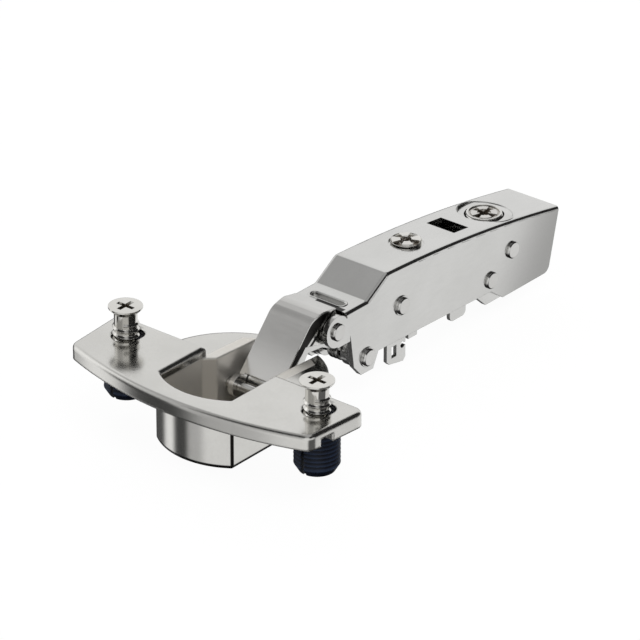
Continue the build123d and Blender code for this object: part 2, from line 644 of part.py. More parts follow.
def make_thrust_washers():
    """Pair of washers between the strap's ears and the housing's walls."""
    middle = (STRAP_HALF_WIDTH + ARM_HALF_WIDTH - ARM_SHEET) / 2
    ring = disc(UPPER_PIVOT, WASHER_RADIUS) - disc(UPPER_PIVOT, LINK_PIN_RADIUS + RUNNING_CLEARANCE)
    return both_sides(ring, middle - WASHER_THICKNESS / 2, middle + WASHER_THICKNESS / 2)


# ---------------------------------------------------------------- carrier
def tilt_swing(centre):
    """How far a point of the carrier moves at the limit of the side adjustment."""
    pivot = RIVETS[-1]
    reach = hypot(centre[0] - pivot[0], centre[1] - pivot[1])
    return reach * tan(radians(CARRIER_TILT_LIMIT)) + CARRIER_TILT_MARGIN


def carrier_side_view():
    """Outline of the carrier's walls."""
    lead = CARRIER_STEP_LEAD
    return outline(
        (CARRIER_FRONT_TOP, CARRIER_FRONT_TOP_Z),
        (CARRIER_WEB_FRONT - 3.0, CARRIER_FRONT_TOP_Z),
        (CARRIER_WEB_FRONT, CARRIER_WEB_TOP),
        (CARRIER_WEB_REAR, CARRIER_WEB_TOP),
        (CARRIER_REAR, CARRIER_REAR_TOP),
        (CARRIER_REAR - 3.6, CARRIER_REAR_BOTTOM),
        (ARM_STEP_REAR_X - lead, CARRIER_REAR_BOTTOM),
        (ARM_STEP_FRONT_X - lead, ARM_FRONT_BOTTOM + CARRIER_BOTTOM_GAP),
        (LUG_BACK_X + 0.6, ARM_ROOT_BOTTOM + CARRIER_BOTTOM_GAP),
        (LUG_TIP_REAR[0] - 0.4, CARRIER_LUG_BOTTOM),
        (LUG_TIP[0] + 0.6, CARRIER_LUG_BOTTOM),
        (CARRIER_FRONT_FOOT, ARM_FRONT_BOTTOM + 0.8),
    )


def make_carrier():
    """Inner channel that tilts on the rear rivet when the side screw is turned."""
    outer_half = ARM_HALF_WIDTH - ARM_SHEET - CARRIER_GAP
    inner_half = outer_half - ARM_SHEET
    carrier = side_plate(carrier_side_view(), -outer_half, outer_half)
    below_web = box_region(-FAR, FAR, -FAR, CARRIER_WEB_TOP - ARM_SHEET)
    ahead = box_region(-FAR, CARRIER_WEB_FRONT, -FAR, FAR) + box_region(CARRIER_WEB_REAR, FAR, -FAR, FAR)
    carrier -= side_plate(below_web + ahead, -inner_half, inner_half)
    window = Pos((WINDOW_FRONT + WINDOW_REAR) / 2, 0) * Rectangle(WINDOW_REAR - WINDOW_FRONT, 2 * WINDOW_HALF)
    carrier -= floor_plate(window, 0, CARRIER_WEB_TOP + 1)
    thread = Pos(SIDE_SCREW_X, 0) * Circle(SIDE_SCREW_RADIUS + 4 * RUNNING_CLEARANCE)
    carrier -= floor_plate(thread, 0, CARRIER_WEB_TOP + 1)
    neck = Pos(CAM_X, 0) * Circle(CAM_NECK_RADIUS + RUNNING_CLEARANCE)
    carrier -= floor_plate(neck, 0, CARRIER_WEB_TOP + 1)
    carrier -= cross_pin(LOWER_PIVOT, LINK_PIN_RADIUS + tilt_swing(LOWER_PIVOT), FAR)
    for centre in RIVETS[:-1]:
        carrier -= cross_pin(centre, RIVET_RADIUS + tilt_swing(centre), FAR)
    carrier -= cross_pin(RIVETS[-1], RIVET_RADIUS + RUNNING_CLEARANCE, FAR)
    return carrier


# ---------------------------------------------------------------- clip channel
def clip_side_view():
    """Outline of the clip channel's walls: front hooks, two tabs and the deep rear."""
    small_front, small_rear, small_foot = TAB_SMALL
    large_front, large_rear, large_foot = TAB_LARGE
    step_front = ARM_STEP_FRONT_X - CARRIER_STEP_LEAD + 1.5
    web_top = CARRIER_WEB_TOP - ARM_SHEET - CLIP_WEB_GAP
    body = outline(
        (CLIP_FRONT, CLIP_FRONT_TOP),
        (CLIP_WEB_FRONT - 1.2, CLIP_FRONT_TOP),
        (CLIP_WEB_FRONT, web_top),
        (CLIP_WEB_REAR, web_top),
        (CLIP_REAR, -1.0),
        (CLIP_REAR - 1.2, CLIP_REAR_BOTTOM),
        (step_front + 3.6, CLIP_REAR_BOTTOM),
        (step_front, CLIP_BELLY),
        (CLIP_FRONT, CLIP_BELLY),
    )
    hook = outline(
        (CLIP_FRONT, CLIP_FRONT_TOP),
        (HOOK_REAR, CLIP_FRONT_TOP),
        (HOOK_REAR, HOOK_REAR_BOTTOM + HOOK_CORNER),
        (HOOK_REAR - HOOK_CORNER, HOOK_REAR_BOTTOM),
        (CLIP_FRONT + HOOK_CORNER, HOOK_FRONT_BOTTOM),
        (CLIP_FRONT, HOOK_FRONT_BOTTOM + HOOK_CORNER),
    )
    small = box_region(small_front, small_rear, small_foot, CLIP_BELLY + 1)
    large = box_region(large_front, large_rear, large_foot, CLIP_BELLY + 1)
    corners = [v for v in large.vertices() if v.Y < large_foot + 0.1]
    view = body + hook + small + fillet(corners, TAB_ROUND)
    neck = (HOOK_REAR, HOOK_NOTCH[1])
    notch = disc(HOOK_NOTCH, HOOK_NOTCH_RADIUS) + box_region(
        HOOK_NOTCH[0], neck[0], neck[1] - HOOK_NOTCH_RADIUS / 2, neck[1] + HOOK_NOTCH_RADIUS / 2)
    return view - box_region(*HOOK_WINDOW) - notch


def make_clip_channel():
    """Channel that clips on the mounting plate and slides for the depth adjustment."""
    outer_half = ARM_HALF_WIDTH - 2 * ARM_SHEET - CARRIER_GAP - CLIP_GAP
    inner_half = outer_half - CLIP_SHEET
    web_top = CARRIER_WEB_TOP - ARM_SHEET - CLIP_WEB_GAP
    channel = both_sides(clip_side_view(), inner_half, outer_half)
    web = box_region(CLIP_WEB_FRONT, CLIP_WEB_REAR, web_top - CLIP_WEB_SHEET, web_top)
    channel += side_plate(web, -outer_half, outer_half)
    slot_x = CAM_PIN_RADIUS + CAM_SLOT_CLEARANCE
    slot = Pos(CAM_X, CAM_THROW * 0.75) * Rot(0, 0, 90) * SlotOverall(
        2 * slot_x + CAM_THROW * 0.7, 2 * slot_x)
    channel -= floor_plate(slot, 0, web_top + 1)
    window = Pos((WINDOW_FRONT + WINDOW_REAR) / 2, 0) * Rectangle(
        WINDOW_REAR - WINDOW_FRONT + 2 * DEPTH_TRAVEL, 2 * inner_half)
    channel -= floor_plate(window, 0, web_top + 1)
    tip_hole = slot_region((SIDE_SCREW_X, 0), DEPTH_TRAVEL + SLOT_MARGIN, SIDE_SCREW_RADIUS + SLOT_MARGIN)
    channel -= floor_plate(tip_hole, 0, web_top + 1)
    for centre in RIVETS[1:]:
        radius = RIVET_RADIUS + tilt_swing(centre) + SLOT_MARGIN
        channel -= side_plate(slot_region(centre, DEPTH_TRAVEL + SLOT_MARGIN, radius), -FAR, FAR)
    channel -= cross_pin(RELEASE_PIVOT, RELEASE_PIN_RADIUS + PRESS_CLEARANCE, FAR)
    return channel


# ---------------------------------------------------------------- adjusters
def make_side_screw():
    """Side-adjusting screw, held in the housing's top and threaded into the carrier."""
    seat = arm_top_height(SIDE_SCREW_X) - SIDE_SCREW_DISH_DEPTH + PRESS_CLEARANCE
    top = seat + SIDE_SCREW_HEAD_HEIGHT
    head = Pos(0, 0, seat) * Cylinder(
        SIDE_SCREW_HEAD_RADIUS, SIDE_SCREW_HEAD_HEIGHT, align=(Align.CENTER, Align.CENTER, Align.MIN))
    head = chamfer(head.edges().group_by(Axis.Z)[-1], HEAD_EDGE_CHAMFER)
    shank = Pos(0, 0, SIDE_SCREW_TIP) * Cylinder(
        SIDE_SCREW_RADIUS, seat - SIDE_SCREW_TIP + 0.5, align=(Align.CENTER, Align.CENTER, Align.MIN))
    screw = head + shank
    screw -= Pos(0, 0, top) * cross_recess(CROSS_SPAN, CROSS_SLOT, CROSS_DEPTH)
    return Pos(SIDE_SCREW_X, 0, 0) * screw


def make_depth_cam():
    """Cross-head disc with an eccentric pin that drives the clip channel along the carrier."""
    top = arm_top_height(CAM_X) - CAM_TOP_DROP
    seat = CARRIER_WEB_TOP + PRESS_CLEARANCE
    low = (Align.CENTER, Align.CENTER, Align.MIN)
    head = Pos(0, 0, seat) * Cylinder(CAM_RADIUS, top - seat, align=low)
    head = chamfer(head.edges().group_by(Axis.Z)[-1], HEAD_EDGE_CHAMFER)
    neck_foot = CARRIER_WEB_TOP - ARM_SHEET - CLIP_WEB_GAP / 2
    neck = Pos(0, 0, neck_foot) * Cylinder(CAM_NECK_RADIUS, seat - neck_foot + 0.3, align=low)
    pin_foot = CARRIER_WEB_TOP - ARM_SHEET - CLIP_WEB_GAP - CLIP_WEB_SHEET
    pin = Pos(0, CAM_THROW * 0.999, pin_foot) * Cylinder(CAM_PIN_RADIUS, neck_foot - pin_foot + 0.3, align=low)
    cam = head + neck + pin
    cam -= Pos(0, 0, top) * cross_recess(CROSS_SPAN * 1.25, CROSS_SLOT * 1.2, CROSS_DEPTH)
    return Pos(CAM_X, 0, 0) * cam


# ---------------------------------------------------------------- release lever
def make_release_lever():
    """Rocking lever inside the clip channel: latch hook in front, thumb pad behind."""
    bar = sheet_path([RELEASE_HOOK, RELEASE_PIVOT, RELEASE_THUMB], [1.5], RELEASE_BAR)
    cheek = bar + disc(RELEASE_PIVOT, RELEASE_BOSS_RADIUS) + disc(RELEASE_HOOK, RELEASE_BAR / 2)
    inner = RELEASE_HALF_WIDTH - RELEASE_CHEEK
    lever = both_sides(cheek, inner, RELEASE_HALF_WIDTH)
    thumb = disc(RELEASE_THUMB, RELEASE_BAR / 2)
    latch = disc(RELEASE_HOOK, RELEASE_BAR / 2)
    lever += side_plate(thumb + latch, -RELEASE_HALF_WIDTH, RELEASE_HALF_WIDTH)
    lever -= cross_pin(RELEASE_PIVOT, RELEASE_PIN_RADIUS + RUNNING_CLEARANCE, FAR)
    return lever


def make_release_pin():
    """Pin of the release lever, pressed in the clip channel's walls."""
    half = ARM_HALF_WIDTH - 2 * ARM_SHEET - CARRIER_GAP - CLIP_GAP
    return cross_pin(RELEASE_PIVOT, RELEASE_PIN_RADIUS, half)


def make_release_spring():
    """Small torsion spring between the lever's cheeks."""
    inner = RELEASE_PIN_RADIUS + SPRING_PIN_GAP
    return torsion_coil(
        RELEASE_PIVOT, RELEASE_SPRING_WIRE, inner, RELEASE_SPRING_LEG, RELEASE_SPRING_LEG_ANGLE)


def make_closing_spring():
    """Torsion spring on the lower arm pin, between the cheeks of the inner link's fork."""
    inner = LINK_PIN_RADIUS + SPRING_PIN_GAP
    return torsion_coil(LOWER_PIVOT, SPRING_WIRE, inner, SPRING_LEG, SPRING_LEG_ANGLE)


# ---------------------------------------------------------------- all pieces
def build_parts():
    """Every piece of the hinge by its node name."""
    parts = {
        "cup": make_cup(),
        "front_cup_pin": make_cup_pin(STRAP_PIVOT),
        "rear_cup_pin": make_cup_pin(BACK_PIVOT),
        "outer_link": make_outer_link(),
        "inner_link": make_inner_link(),
        "arm_housing": make_arm_housing(),
        "upper_link_pin": headed_pin(UPPER_PIVOT, LINK_PIN_RADIUS, ARM_HALF_WIDTH, False),
        "lower_link_pin": headed_pin(LOWER_PIVOT, LINK_PIN_RADIUS, ARM_HALF_WIDTH, True),
        "front_rivet": headed_pin(RIVETS[0], RIVET_RADIUS, ARM_HALF_WIDTH, True),
        "middle_rivet": headed_pin(RIVETS[1], RIVET_RADIUS, ARM_HALF_WIDTH, False),
        "rear_rivet": headed_pin(RIVETS[2], RIVET_RADIUS, ARM_HALF_WIDTH, False),
        "thrust_washers": make_thrust_washers(),
        "closing_spring": make_closing_spring(),
        "carrier_channel": make_carrier(),
        "clip_channel": make_clip_channel(),
        "side_adjusting_screw": make_side_screw(),
        "depth_adjusting_cam": make_depth_cam(),
        "release_lever": make_release_lever(),
        "release_pin": make_release_pin(),
        "release_spring": make_release_spring(),
    }
    for side, y in DOWEL_SIDES.items():
        parts[f"{side}_dowel"] = make_dowel(y)
        parts[f"{side}_dowel_screw"] = make_dowel_screw(y)
    return parts


os.makedirs("parts", exist_ok=True)
for node, shape in build_parts().items():
    export_step(shape, f"parts/{node}.step")
    print(f"{node:24s} {len(shape.solids())} solid(s) {shape.volume:10.2f} mm3")
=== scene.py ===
"""Finishes, small details, studio light and camera for a concealed cup hinge."""

import logging
from dataclasses import dataclass
from enum import Enum
from math import cos, pi, radians, sin, sqrt, tau
from typing import Any, Protocol, Sequence

import bmesh
import bpy
from bpy.types import Material, Mesh, Object
from mathutils import Matrix, Vector


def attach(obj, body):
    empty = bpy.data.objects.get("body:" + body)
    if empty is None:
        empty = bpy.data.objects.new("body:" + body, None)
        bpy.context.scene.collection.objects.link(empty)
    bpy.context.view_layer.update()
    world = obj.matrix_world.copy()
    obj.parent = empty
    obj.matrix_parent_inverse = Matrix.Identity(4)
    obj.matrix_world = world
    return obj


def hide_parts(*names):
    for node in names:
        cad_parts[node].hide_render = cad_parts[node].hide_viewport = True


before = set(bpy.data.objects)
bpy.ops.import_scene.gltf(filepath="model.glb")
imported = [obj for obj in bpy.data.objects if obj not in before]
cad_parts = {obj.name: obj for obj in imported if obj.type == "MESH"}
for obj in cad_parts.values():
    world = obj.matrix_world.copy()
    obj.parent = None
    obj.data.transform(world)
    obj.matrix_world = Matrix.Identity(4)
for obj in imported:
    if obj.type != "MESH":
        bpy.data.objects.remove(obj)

# One millimetre in scene units. Lengths below are in millimetres unless a unit is named.
MM = 0.001
Colour = tuple[float, float, float]
Point = tuple[float, float, float]
WHITE: Colour = (1.0, 1.0, 1.0)
# Black used as painted shade, painted shadow and painted dark reflection.
PAINTED_SHADE_BLACK: Colour = (0.014, 0.013, 0.012)
# Brown used as painted shade that deepens down the driver recesses.
RECESS_SHADE_BROWN: Colour = (0.16, 0.125, 0.085)
# Pale warm grey painted inside the cup as painted light on its shaded walls.
POCKET_PAINTED_LIGHT: Colour = (0.7, 0.675, 0.63)
log = logging.getLogger("cup_hinge")


# ---- scene helpers


def set_out(name: str, data: bpy.types.ID) -> Object:
    """Puts new data in the scene as an object.

    Args:
        name: The object's name.
        data: Its mesh, curve, light or camera.

    Returns:
        The object.
    """
    thing = bpy.data.objects.new(name, data)
    bpy.context.scene.collection.objects.link(thing)
    return thing


def plain_mesh(host: Object) -> Mesh:
    """The mesh that an object's curve or modifier gives."""
    graph = bpy.context.evaluated_depsgraph_get()
    return bpy.data.meshes.new_from_object(host.evaluated_get(graph))


def smooth(mesh: Mesh, sharp: float) -> None:
    """Shades a mesh smooth, but for edges over a number of degrees."""
    mesh.shade_smooth()
    mesh.set_sharp_from_angle(angle=radians(sharp))


def dressed_piece(name: str, mesh: Mesh, material: Material, sharp: float) -> Object:
    """Makes a smooth object of a finished mesh.

    Args:
        name: The name of the object and of its mesh.
        mesh: The mesh.
        material: Its material.
        sharp: The angle in degrees over which its edges stay sharp.

    Returns:
        The object, in the scene.
    """
    mesh.name = name
    mesh.materials.clear()
    mesh.materials.append(material)
    smooth(mesh, sharp)
    return set_out(name, mesh)


# ---- shader kit


class Wire:
    """A shader socket that takes part in plain arithmetic."""

    def __init__(self, bench: "ShaderBench", socket: bpy.types.NodeSocket) -> None:
        """Keeps the socket and the bench that makes the Math nodes."""
        self.bench = bench
        self.socket = socket

    def math(self, operation: str, *others: "Wire | float", clamp: bool = False) -> "Wire":
        """Adds a Math node on this value.

        Args:
            operation: The Math node's operation.
            others: The second and third values.
            clamp: Whether the result stays between 0 and 1.

        Returns:
            The result as a new Wire.
        """
        values = {0: self, **{place + 1: other for place, other in enumerate(others)}}
        settings = {"operation": operation, "use_clamp": clamp}
        return self.bench.add("ShaderNodeMath", values, settings)["Value"]

    def _swapped(self, operation: str, first: float) -> "Wire":
        """A Math node with a plain number as its first value."""
        values = {0: first, 1: self}
        return self.bench.add("ShaderNodeMath", values, {"operation": operation})["Value"]

    def __add__(self, other: "Wire | float") -> "Wire":
        """self + other."""
        return self.math("ADD", other)

    def __radd__(self, other: float) -> "Wire":
        """other + self."""
        return self._swapped("ADD", other)

    def __sub__(self, other: "Wire | float") -> "Wire":
        """self - other."""
        return self.math("SUBTRACT", other)

    def __rsub__(self, other: float) -> "Wire":
        """other - self."""
        return self._swapped("SUBTRACT", other)

    def __mul__(self, other: "Wire | float") -> "Wire":
        """self * other."""
        return self.math("MULTIPLY", other)

    def __rmul__(self, other: float) -> "Wire":
        """other * self."""
        return self._swapped("MULTIPLY", other)

    def clamped(self) -> "Wire":
        """This value held between 0 and 1."""
        return self.math("ADD", 0.0, clamp=True)

    def reach(self, other: "Wire") -> "Wire":
        """The distance that lies this far one way and that far across it."""
        return (self * self + other * other).math("SQRT")

    def step(self, low: float, high: float) -> "Wire":
        """A smooth rise from 0 to 1.

        Args:
            low: The value up to which it is 0.
            high: The value from which it is 1.

        Returns:
            The result as a new Wire.
        """
        settings = {"interpolation_type": "SMOOTHSTEP"}
        values = {"Value": self, "From Min": low, "From Max": high}
        return self.bench.add("ShaderNodeMapRange", values, settings)["Result"]


class Made:
    """A node that was just made, whose outputs are read by name or place."""

    def __init__(self, bench: "ShaderBench", node: bpy.types.Node) -> None:
        """Keeps the node and its bench."""
        self.bench = bench
        self.node = node

    def __getitem__(self, output: str | int) -> Wire:
        """The output as a Wire."""
        return Wire(self.bench, self.node.outputs[output])


class ShaderBench:
    """Makes the nodes of one material or world."""

    def __init__(self, owner: Material | bpy.types.World) -> None:
        """Clears the owner's nodes.

        Args:
            owner: The material or world that the nodes belong to.
        """
        owner.use_nodes = True
        self.owner = owner
        self.tree = owner.node_tree
        self.tree.nodes.clear()

    def add(
        self,
        kind: str,
        values: dict[str | int, Any] | None = None,
        settings: dict[str, Any] | None = None,
    ) -> Made:
        """Makes a node.

        Args:
            kind: The node's type.
            values: Values or Wires of its inputs, by name or place.
            settings: Its settings, such as an operation, which are set first.

        Returns:
            The node that was made.
        """
        node = self.tree.nodes.new(kind)
        for key, value in (settings or {}).items():
            setattr(node, key, value)
        for key, value in (values or {}).items():
            self._feed(node.inputs[key], value)
        return Made(self, node)

    def _feed(self, socket: bpy.types.NodeSocket, value: Any) -> None:
        """Links a Wire to a socket, or sets a plain value on it.

        Args:
            socket: The socket.
            value: What it is given. A colour of three numbers is made opaque.
        """
        if isinstance(value, Wire):
            self.tree.links.new(value.socket, socket)
        elif socket.type == "RGBA" and len(value) == 3:
            socket.default_value = (*value, 1.0)
        else:
            socket.default_value = value

    def mix(self, factor: Wire, first: Wire | Colour, second: Wire | Colour) -> Wire:
        """A colour between two, on the places that a Mix node keeps for colours."""
        values = {0: factor, 6: first, 7: second}
        return self.add("ShaderNodeMix", values, {"data_type": "RGBA"})[2]

    def place(self, stretch: Point = (1.0, 1.0, 1.0)) -> Wire:
        """Object coordinates in millimetres, stretched.

        Args:
            stretch: The factor on each axis.

        Returns:
            The coordinates as a vector Wire.
        """
        values = {"Vector": self.add("ShaderNodeTexCoord")["Object"]}
        values["Scale"] = tuple(factor / MM for factor in stretch)
        return self.add("ShaderNodeMapping", values)["Vector"]

    def noise(self, vector: Wire, scale: float, detail: float = 3.0, rough: float = 0.5) -> Wire:
        """Noise between 0 and 1 on a vector."""
        values = {"Vector": vector, "Scale": scale, "Detail": detail, "Roughness": rough}
        return self.add("ShaderNodeTexNoise", values)["Fac"]

    def axes(self, vector: Wire) -> tuple[Wire, Wire, Wire]:
        """The three numbers of a vector."""
        parts = self.add("ShaderNodeSeparateXYZ", {"Vector": vector})
        return parts["X"], parts["Y"], parts["Z"]

    def dot(self, vector: Wire, other: Point) -> Wire:
        """The dot product of a vector and a fixed one."""
        settings = {"operation": "DOT_PRODUCT"}
        return self.add("ShaderNodeVectorMath", {0: vector, 1: other}, settings)["Value"]

    def close(self, values: dict[str | int, Any]) -> Material:
        """Ends the material with a Principled shader.

        Args:
            values: The shader's values and Wires by name.

        Returns:
            The finished material.
        """
        shader = self.add("ShaderNodeBsdfPrincipled", values)
        self.add("ShaderNodeOutputMaterial", {"Surface": shader["BSDF"]})
        return self.owner


# ---- masks of painted light and shade


class Mask(Protocol):
    """Anything that says how far a place on a surface belongs to it."""

    def share(self, bench: ShaderBench) -> Wire:
        """How far a place belongs to it, from 0 to 1."""


@dataclass(frozen=True)
class Recess:
    """The driver recesses of a screw, painted brown and darker with depth as painted shade.

    Attributes:
        centres: Points on the recesses' axes, as x and y.
        reach: The radius in which a recess lies.
        top: The height at which it starts.
        edge: The softness of its sides.
        depths: How far down the dirt begins and is at its fullest.
        most: The largest share of painted shade.
    """

    centres: tuple[tuple[float, float], ...]
    reach: float
    top: float
    edge: float = 0.25
    depths: tuple[float, float] = (0.15, 0.75)
    most: float = 0.8

    def share(self, bench: ShaderBench) -> Wire:
        """How much painted shade a place has.

        Args:
            bench: The material's bench.

        Returns:
            0 on clean metal and up to the largest share deep in a recess.
        """
        x, y, z = bench.axes(bench.place())
        total: Wire | None = None
        for centre_x, centre_y in self.centres:
            share = self.reach - (x - centre_x).reach(y - centre_y)
            share = share.step(0.0, self.edge)
            total = share if total is None else total.math("MAXIMUM", share)
        return total * (self.top - z).step(*self.depths) * self.most


@dataclass(frozen=True)
class RoughPocketPaintedLight:
    """The inside of the cup: rougher, partly matt, and given a paler colour as painted light on
    its shaded walls.

    Attributes:
        radius: The radius inside which it lies.
        half_width: Half of its width between the flats.
        bottom: Its lowest height.
        top: Its highest height.
        blurs: The softness at the radius, at the flats and the bottom, and at the top.
    """

    radius: float = 16.8
    half_width: float = 9.9
    bottom: float = -12.1
    top: float = 1.6
    blurs: tuple[float, float, float] = (0.3, 0.2, 0.8)

    def share(self, bench: ShaderBench) -> Wire:
        """How far a place lies inside.

        Args:
            bench: The material's bench.

        Returns:
            1 inside the cup, 0 outside.
        """
        x, y, z = bench.axes(bench.place())
        round_blur, flat_blur, top_blur = self.blurs
        share = (self.radius - x.reach(y)).step(0.0, round_blur)
        share = share * (self.half_width - y.math("ABSOLUTE")).step(0.0, flat_blur)
        share = share * (z - self.bottom).step(0.0, flat_blur)
        return share * (self.top - z).step(0.0, top_blur)


@dataclass(frozen=True)
class FoldShade:
    """The painted shade in the hollow of a folded strap's ears, with the bright fold along it
    left unpainted.

    Attributes:
        lines: Straight stretches of the face as x, z and slope in degrees.
        wall: How far out the ears' outer walls lie.
        sheet: The bright thickness of the sheet below the face.
        fold: The fold's distance below the first stretch's start, and its drift.
        fold_half: Half of the fold's width.
        reach: How far past the fold the black goes on.
        blur: The softness of the black's edges.
        round_off: How softly one stretch goes over into the next.
        skin: How deep under the walls the black starts and is at its fullest.
    """

    lines: tuple[tuple[float, float, float], ...]
    wall: float
    sheet: float
    fold: tuple[float, float]
    fold_half: float
    reach: float
    blur: float = 0.1
    round_off: float = 1.2
    skin: tuple[float, float] = (0.06, 0.02)

    def _edge(self, distance: Wire, at: float) -> Wire:
        """0 short of a distance and 1 past it, with a soft edge."""
        return distance.step(at - self.blur, at + self.blur)

    def share(self, bench: ShaderBench) -> Wire:
        """How much painted shade a place has.

        Args:
            bench: The material's bench.

        Returns:
            1 in the hollow, 0 on clean metal.
        """
        x, y, z = bench.axes(bench.place())
        drops: list[Wire] = []
        for start_x, start_z, slope in self.lines:
            turn = radians(slope)
            drops.append((x - start_x) * sin(turn) - (z - start_z) * cos(turn))
        depth = drops[0]
        for drop in drops[1:]:
            depth = depth.math("SMOOTH_MIN", drop, self.round_off)
        start_x, start_z, slope = self.lines[0]
        turn = radians(slope)
        along = (x - start_x) * cos(turn) + (z - start_z) * sin(turn)
        past = drops[0] - (along * self.fold[1] + self.fold[0])
        beside_fold = self._edge(past.math("ABSOLUTE"), self.fold_half)
        black = self._edge(depth, self.sheet) * beside_fold
        black = black * (1.0 - past.step(self.reach, self.reach + 3.0 * self.blur))
        return black * y.math("ABSOLUTE").step(*(self.wall - depth for depth in self.skin))


# Painted shade in the hollow under the strap's folded ears.
STRAP_FOLD_SHADE = FoldShade(
    lines=((7.4, -3.6, 47.8), (17.41, 7.44, 14.9), (21.2, 8.45, -9.9)),
    wall=5.5, sheet=0.32, fold=(0.8, 0.2), fold_half=0.3, reach=0.95,
)


@dataclass(frozen=True)
class PaintedFootLines:
    """The painted dark reflection round the foot of the cup and up its corners.

    Attributes:
        radius: The cup's radius.
        half_width: Half of the width between its flats.
        foot: The height of its underside.
        rise: How far up the line reaches from the foot.
        corner: The width of the line at each corner.
        skins: How deep the round wall and the flats are, from where to where it fades.
        blurs: How far it fades to either side of its end upwards and at the corners.
        top_blur: How far it fades to either side of the corners' top.
    """

    radius: float = 17.4
    half_width: float = 10.4
    foot: float = -12.6
    rise: float = 1.0
    corner: float = 0.5
    skins: tuple[tuple[float, float], tuple[float, float]] = ((1.0, 0.8), (0.9, 0.7))
    blurs: tuple[tuple[float, float], tuple[float, float]] = ((-0.15, 0.1), (-0.15, 0.05))
    top_blur: float = 0.1

    def share(self, bench: ShaderBench) -> Wire:
        """How much of the line a place has.

        Args:
            bench: The material's bench.

        Returns:
            1 on the line, 0 beside it.
        """
        x, y, z = bench.axes(bench.place())
        side = y.math("ABSOLUTE")
        wall = x.reach(y).step(*(self.radius - skin for skin in self.skins[0]))
        flat = side.step(*(self.half_width - skin for skin in self.skins[1]))
        wall = wall.math("MAXIMUM", flat)
        line = self.foot + self.rise
        low = 1.0 - z.step(*(line + way for way in self.blurs[0]))
        corner_x = sqrt(self.radius**2 - self.half_width**2)
        apart = (x.math("ABSOLUTE") - corner_x).reach(side - self.half_width)
        corner = 1.0 - apart.step(*(self.corner + way for way in self.blurs[1]))
        corner = corner * (1.0 - z.step(-self.top_blur, self.top_blur))
        return (wall * low).math("MAXIMUM", corner)


@dataclass(frozen=True)
class PaintedShadingFade:
    """A slow change of the plating's colour along a line, as painted light and shade.

    Attributes:
        along: The line's direction.
        start: Where the change starts along it.
        end: Where it ends.
        wall: How far out to either side the walls lie that it is kept to, or 0.
        skin: How deep under the walls it starts and is at its fullest.
    """

    along: Point
    start: float
    end: float
    wall: float = 0.0
    skin: tuple[float, float] = (0.3, 0.05)

    def share(self, bench: ShaderBench) -> Wire:
        """How far the change has gone.

        Args:
            bench: The material's bench.

        Returns:
            0 before the change, 1 past it.
        """
        place = bench.place()
        side = bench.axes(place)[1].math("ABSOLUTE")
        side = side.step(*(self.wall - depth for depth in self.skin))
        return bench.dot(place, self.along).step(self.start, self.end) * side


@dataclass(frozen=True)
class PaintedShadowBox:
    """A box in which the plating is painted dark as a shadow.

    Attributes:
        low: The box's lowest corner.
        high: Its highest corner.
        blur: The softness of its sides.
    """

    low: Point
    high: Point
    blur: float

    def share(self, bench: ShaderBench) -> Wire:
        """How far a place lies in the box, from 0 to 1.

        Args:
            bench: The material's bench.

        Returns:
            1 in the box, 0 outside it.
        """
        total: Wire | None = None
        for wire, low, high in zip(bench.axes(bench.place()), self.low, self.high):
            part = wire.step(low - self.blur, low) * (1.0 - wire.step(high, high + self.blur))
            total = part if total is None else total * part
        return total


# ---- finishes

# Noise: its fineness per millimetre, its detail and its roughness.
CLOUDS = (0.09, 2.0)
SPECKS = (2.2, 5.0, 0.7)
BLOOM = (0.35, 3.0)
MOULD_GRAIN = (6.0, 4.0, 0.6)
# The detail and roughness of the plating's grain, whose fineness differs.
PLATING_GRAIN = (4.0, 0.62)
# The height of the grain, on plating and on plastic.
PLATING_RELIEF, MOULD_RELIEF = 0.02, 0.03


@dataclass(frozen=True)
class Mark:
    """A place on the plating painted lighter or darker as light and shade, which may also be
    rougher and matt.

    Attributes:
        mask: What says where it lies.
        tone: The colour there.
        rougher: How much rougher it is there.
        matt: The share of its light that it scatters there.
    """

    mask: Mask
    tone: Colour = PAINTED_SHADE_BLACK
    rougher: float = 0.0
    matt: float = 0.0


@dataclass(frozen=True)
class PlatedMetal:
    """A nickel-plated metal surface.

    Attributes:
        name: The material's name.
        light: Its colour where it is cleanest.
        dull: Its colour where it is dullest.
        roughness: The mean roughness.
        fineness: How fine its grain is, per millimetre.
        grain: The strength of the grain's bump.
        unevenness: How far the roughness strays.
        stretch: The factors that draw the grain out along an axis.
        edge: The softening radius of its edges.
        marks: The places of painted light and shade, each over the ones before it.
    """

    name: str
    light: Colour
    dull: Colour
    roughness: float
    fineness: float
    grain: float = 0.1
    unevenness: float = 0.06
    stretch: Point = (1.0, 1.0, 1.0)
    edge: float = 0.15
    marks: tuple[Mark, ...] = ()

    def build(self) -> Material:
        """Makes the material.

        Returns:
            The finished material.
        """
        bench = ShaderBench(bpy.data.materials.new(self.name))
        place = bench.place(self.stretch)
        broad = bench.noise(bench.place(), *CLOUDS)
        fine = bench.noise(place, self.fineness, *PLATING_GRAIN)
        specks = bench.noise(bench.place(), *SPECKS).step(0.66, 0.78)
        colour = bench.mix((broad * 0.7 + fine * 0.3).step(0.3, 0.7), self.light, self.dull)
        colour = bench.mix(specks * 0.25, colour, self.dull)
        roughness = (fine - 0.5) * self.unevenness + self.roughness + specks * 0.05
        metallic: Wire | float = 1.0
        for mark in self.marks:
            share = mark.mask.share(bench)
            colour = bench.mix(share, colour, mark.tone)
            if mark.rougher:
                roughness = roughness + share * mark.rougher
            if mark.matt:
                metallic = 1.0 - share * mark.matt
        soft_edge = bench.add("ShaderNodeBevel", {"Radius": self.edge * MM}, {"samples": 6})
        values = {"Strength": self.grain, "Distance": PLATING_RELIEF * MM, "Height": fine}
        values["Normal"] = soft_edge["Normal"]
        bump = bench.add("ShaderNodeBump", values)
        values = {"Base Color": colour, "Metallic": metallic, "Normal": bump["Normal"]}
        return bench.close({**values, "Roughness": roughness.clamped()})


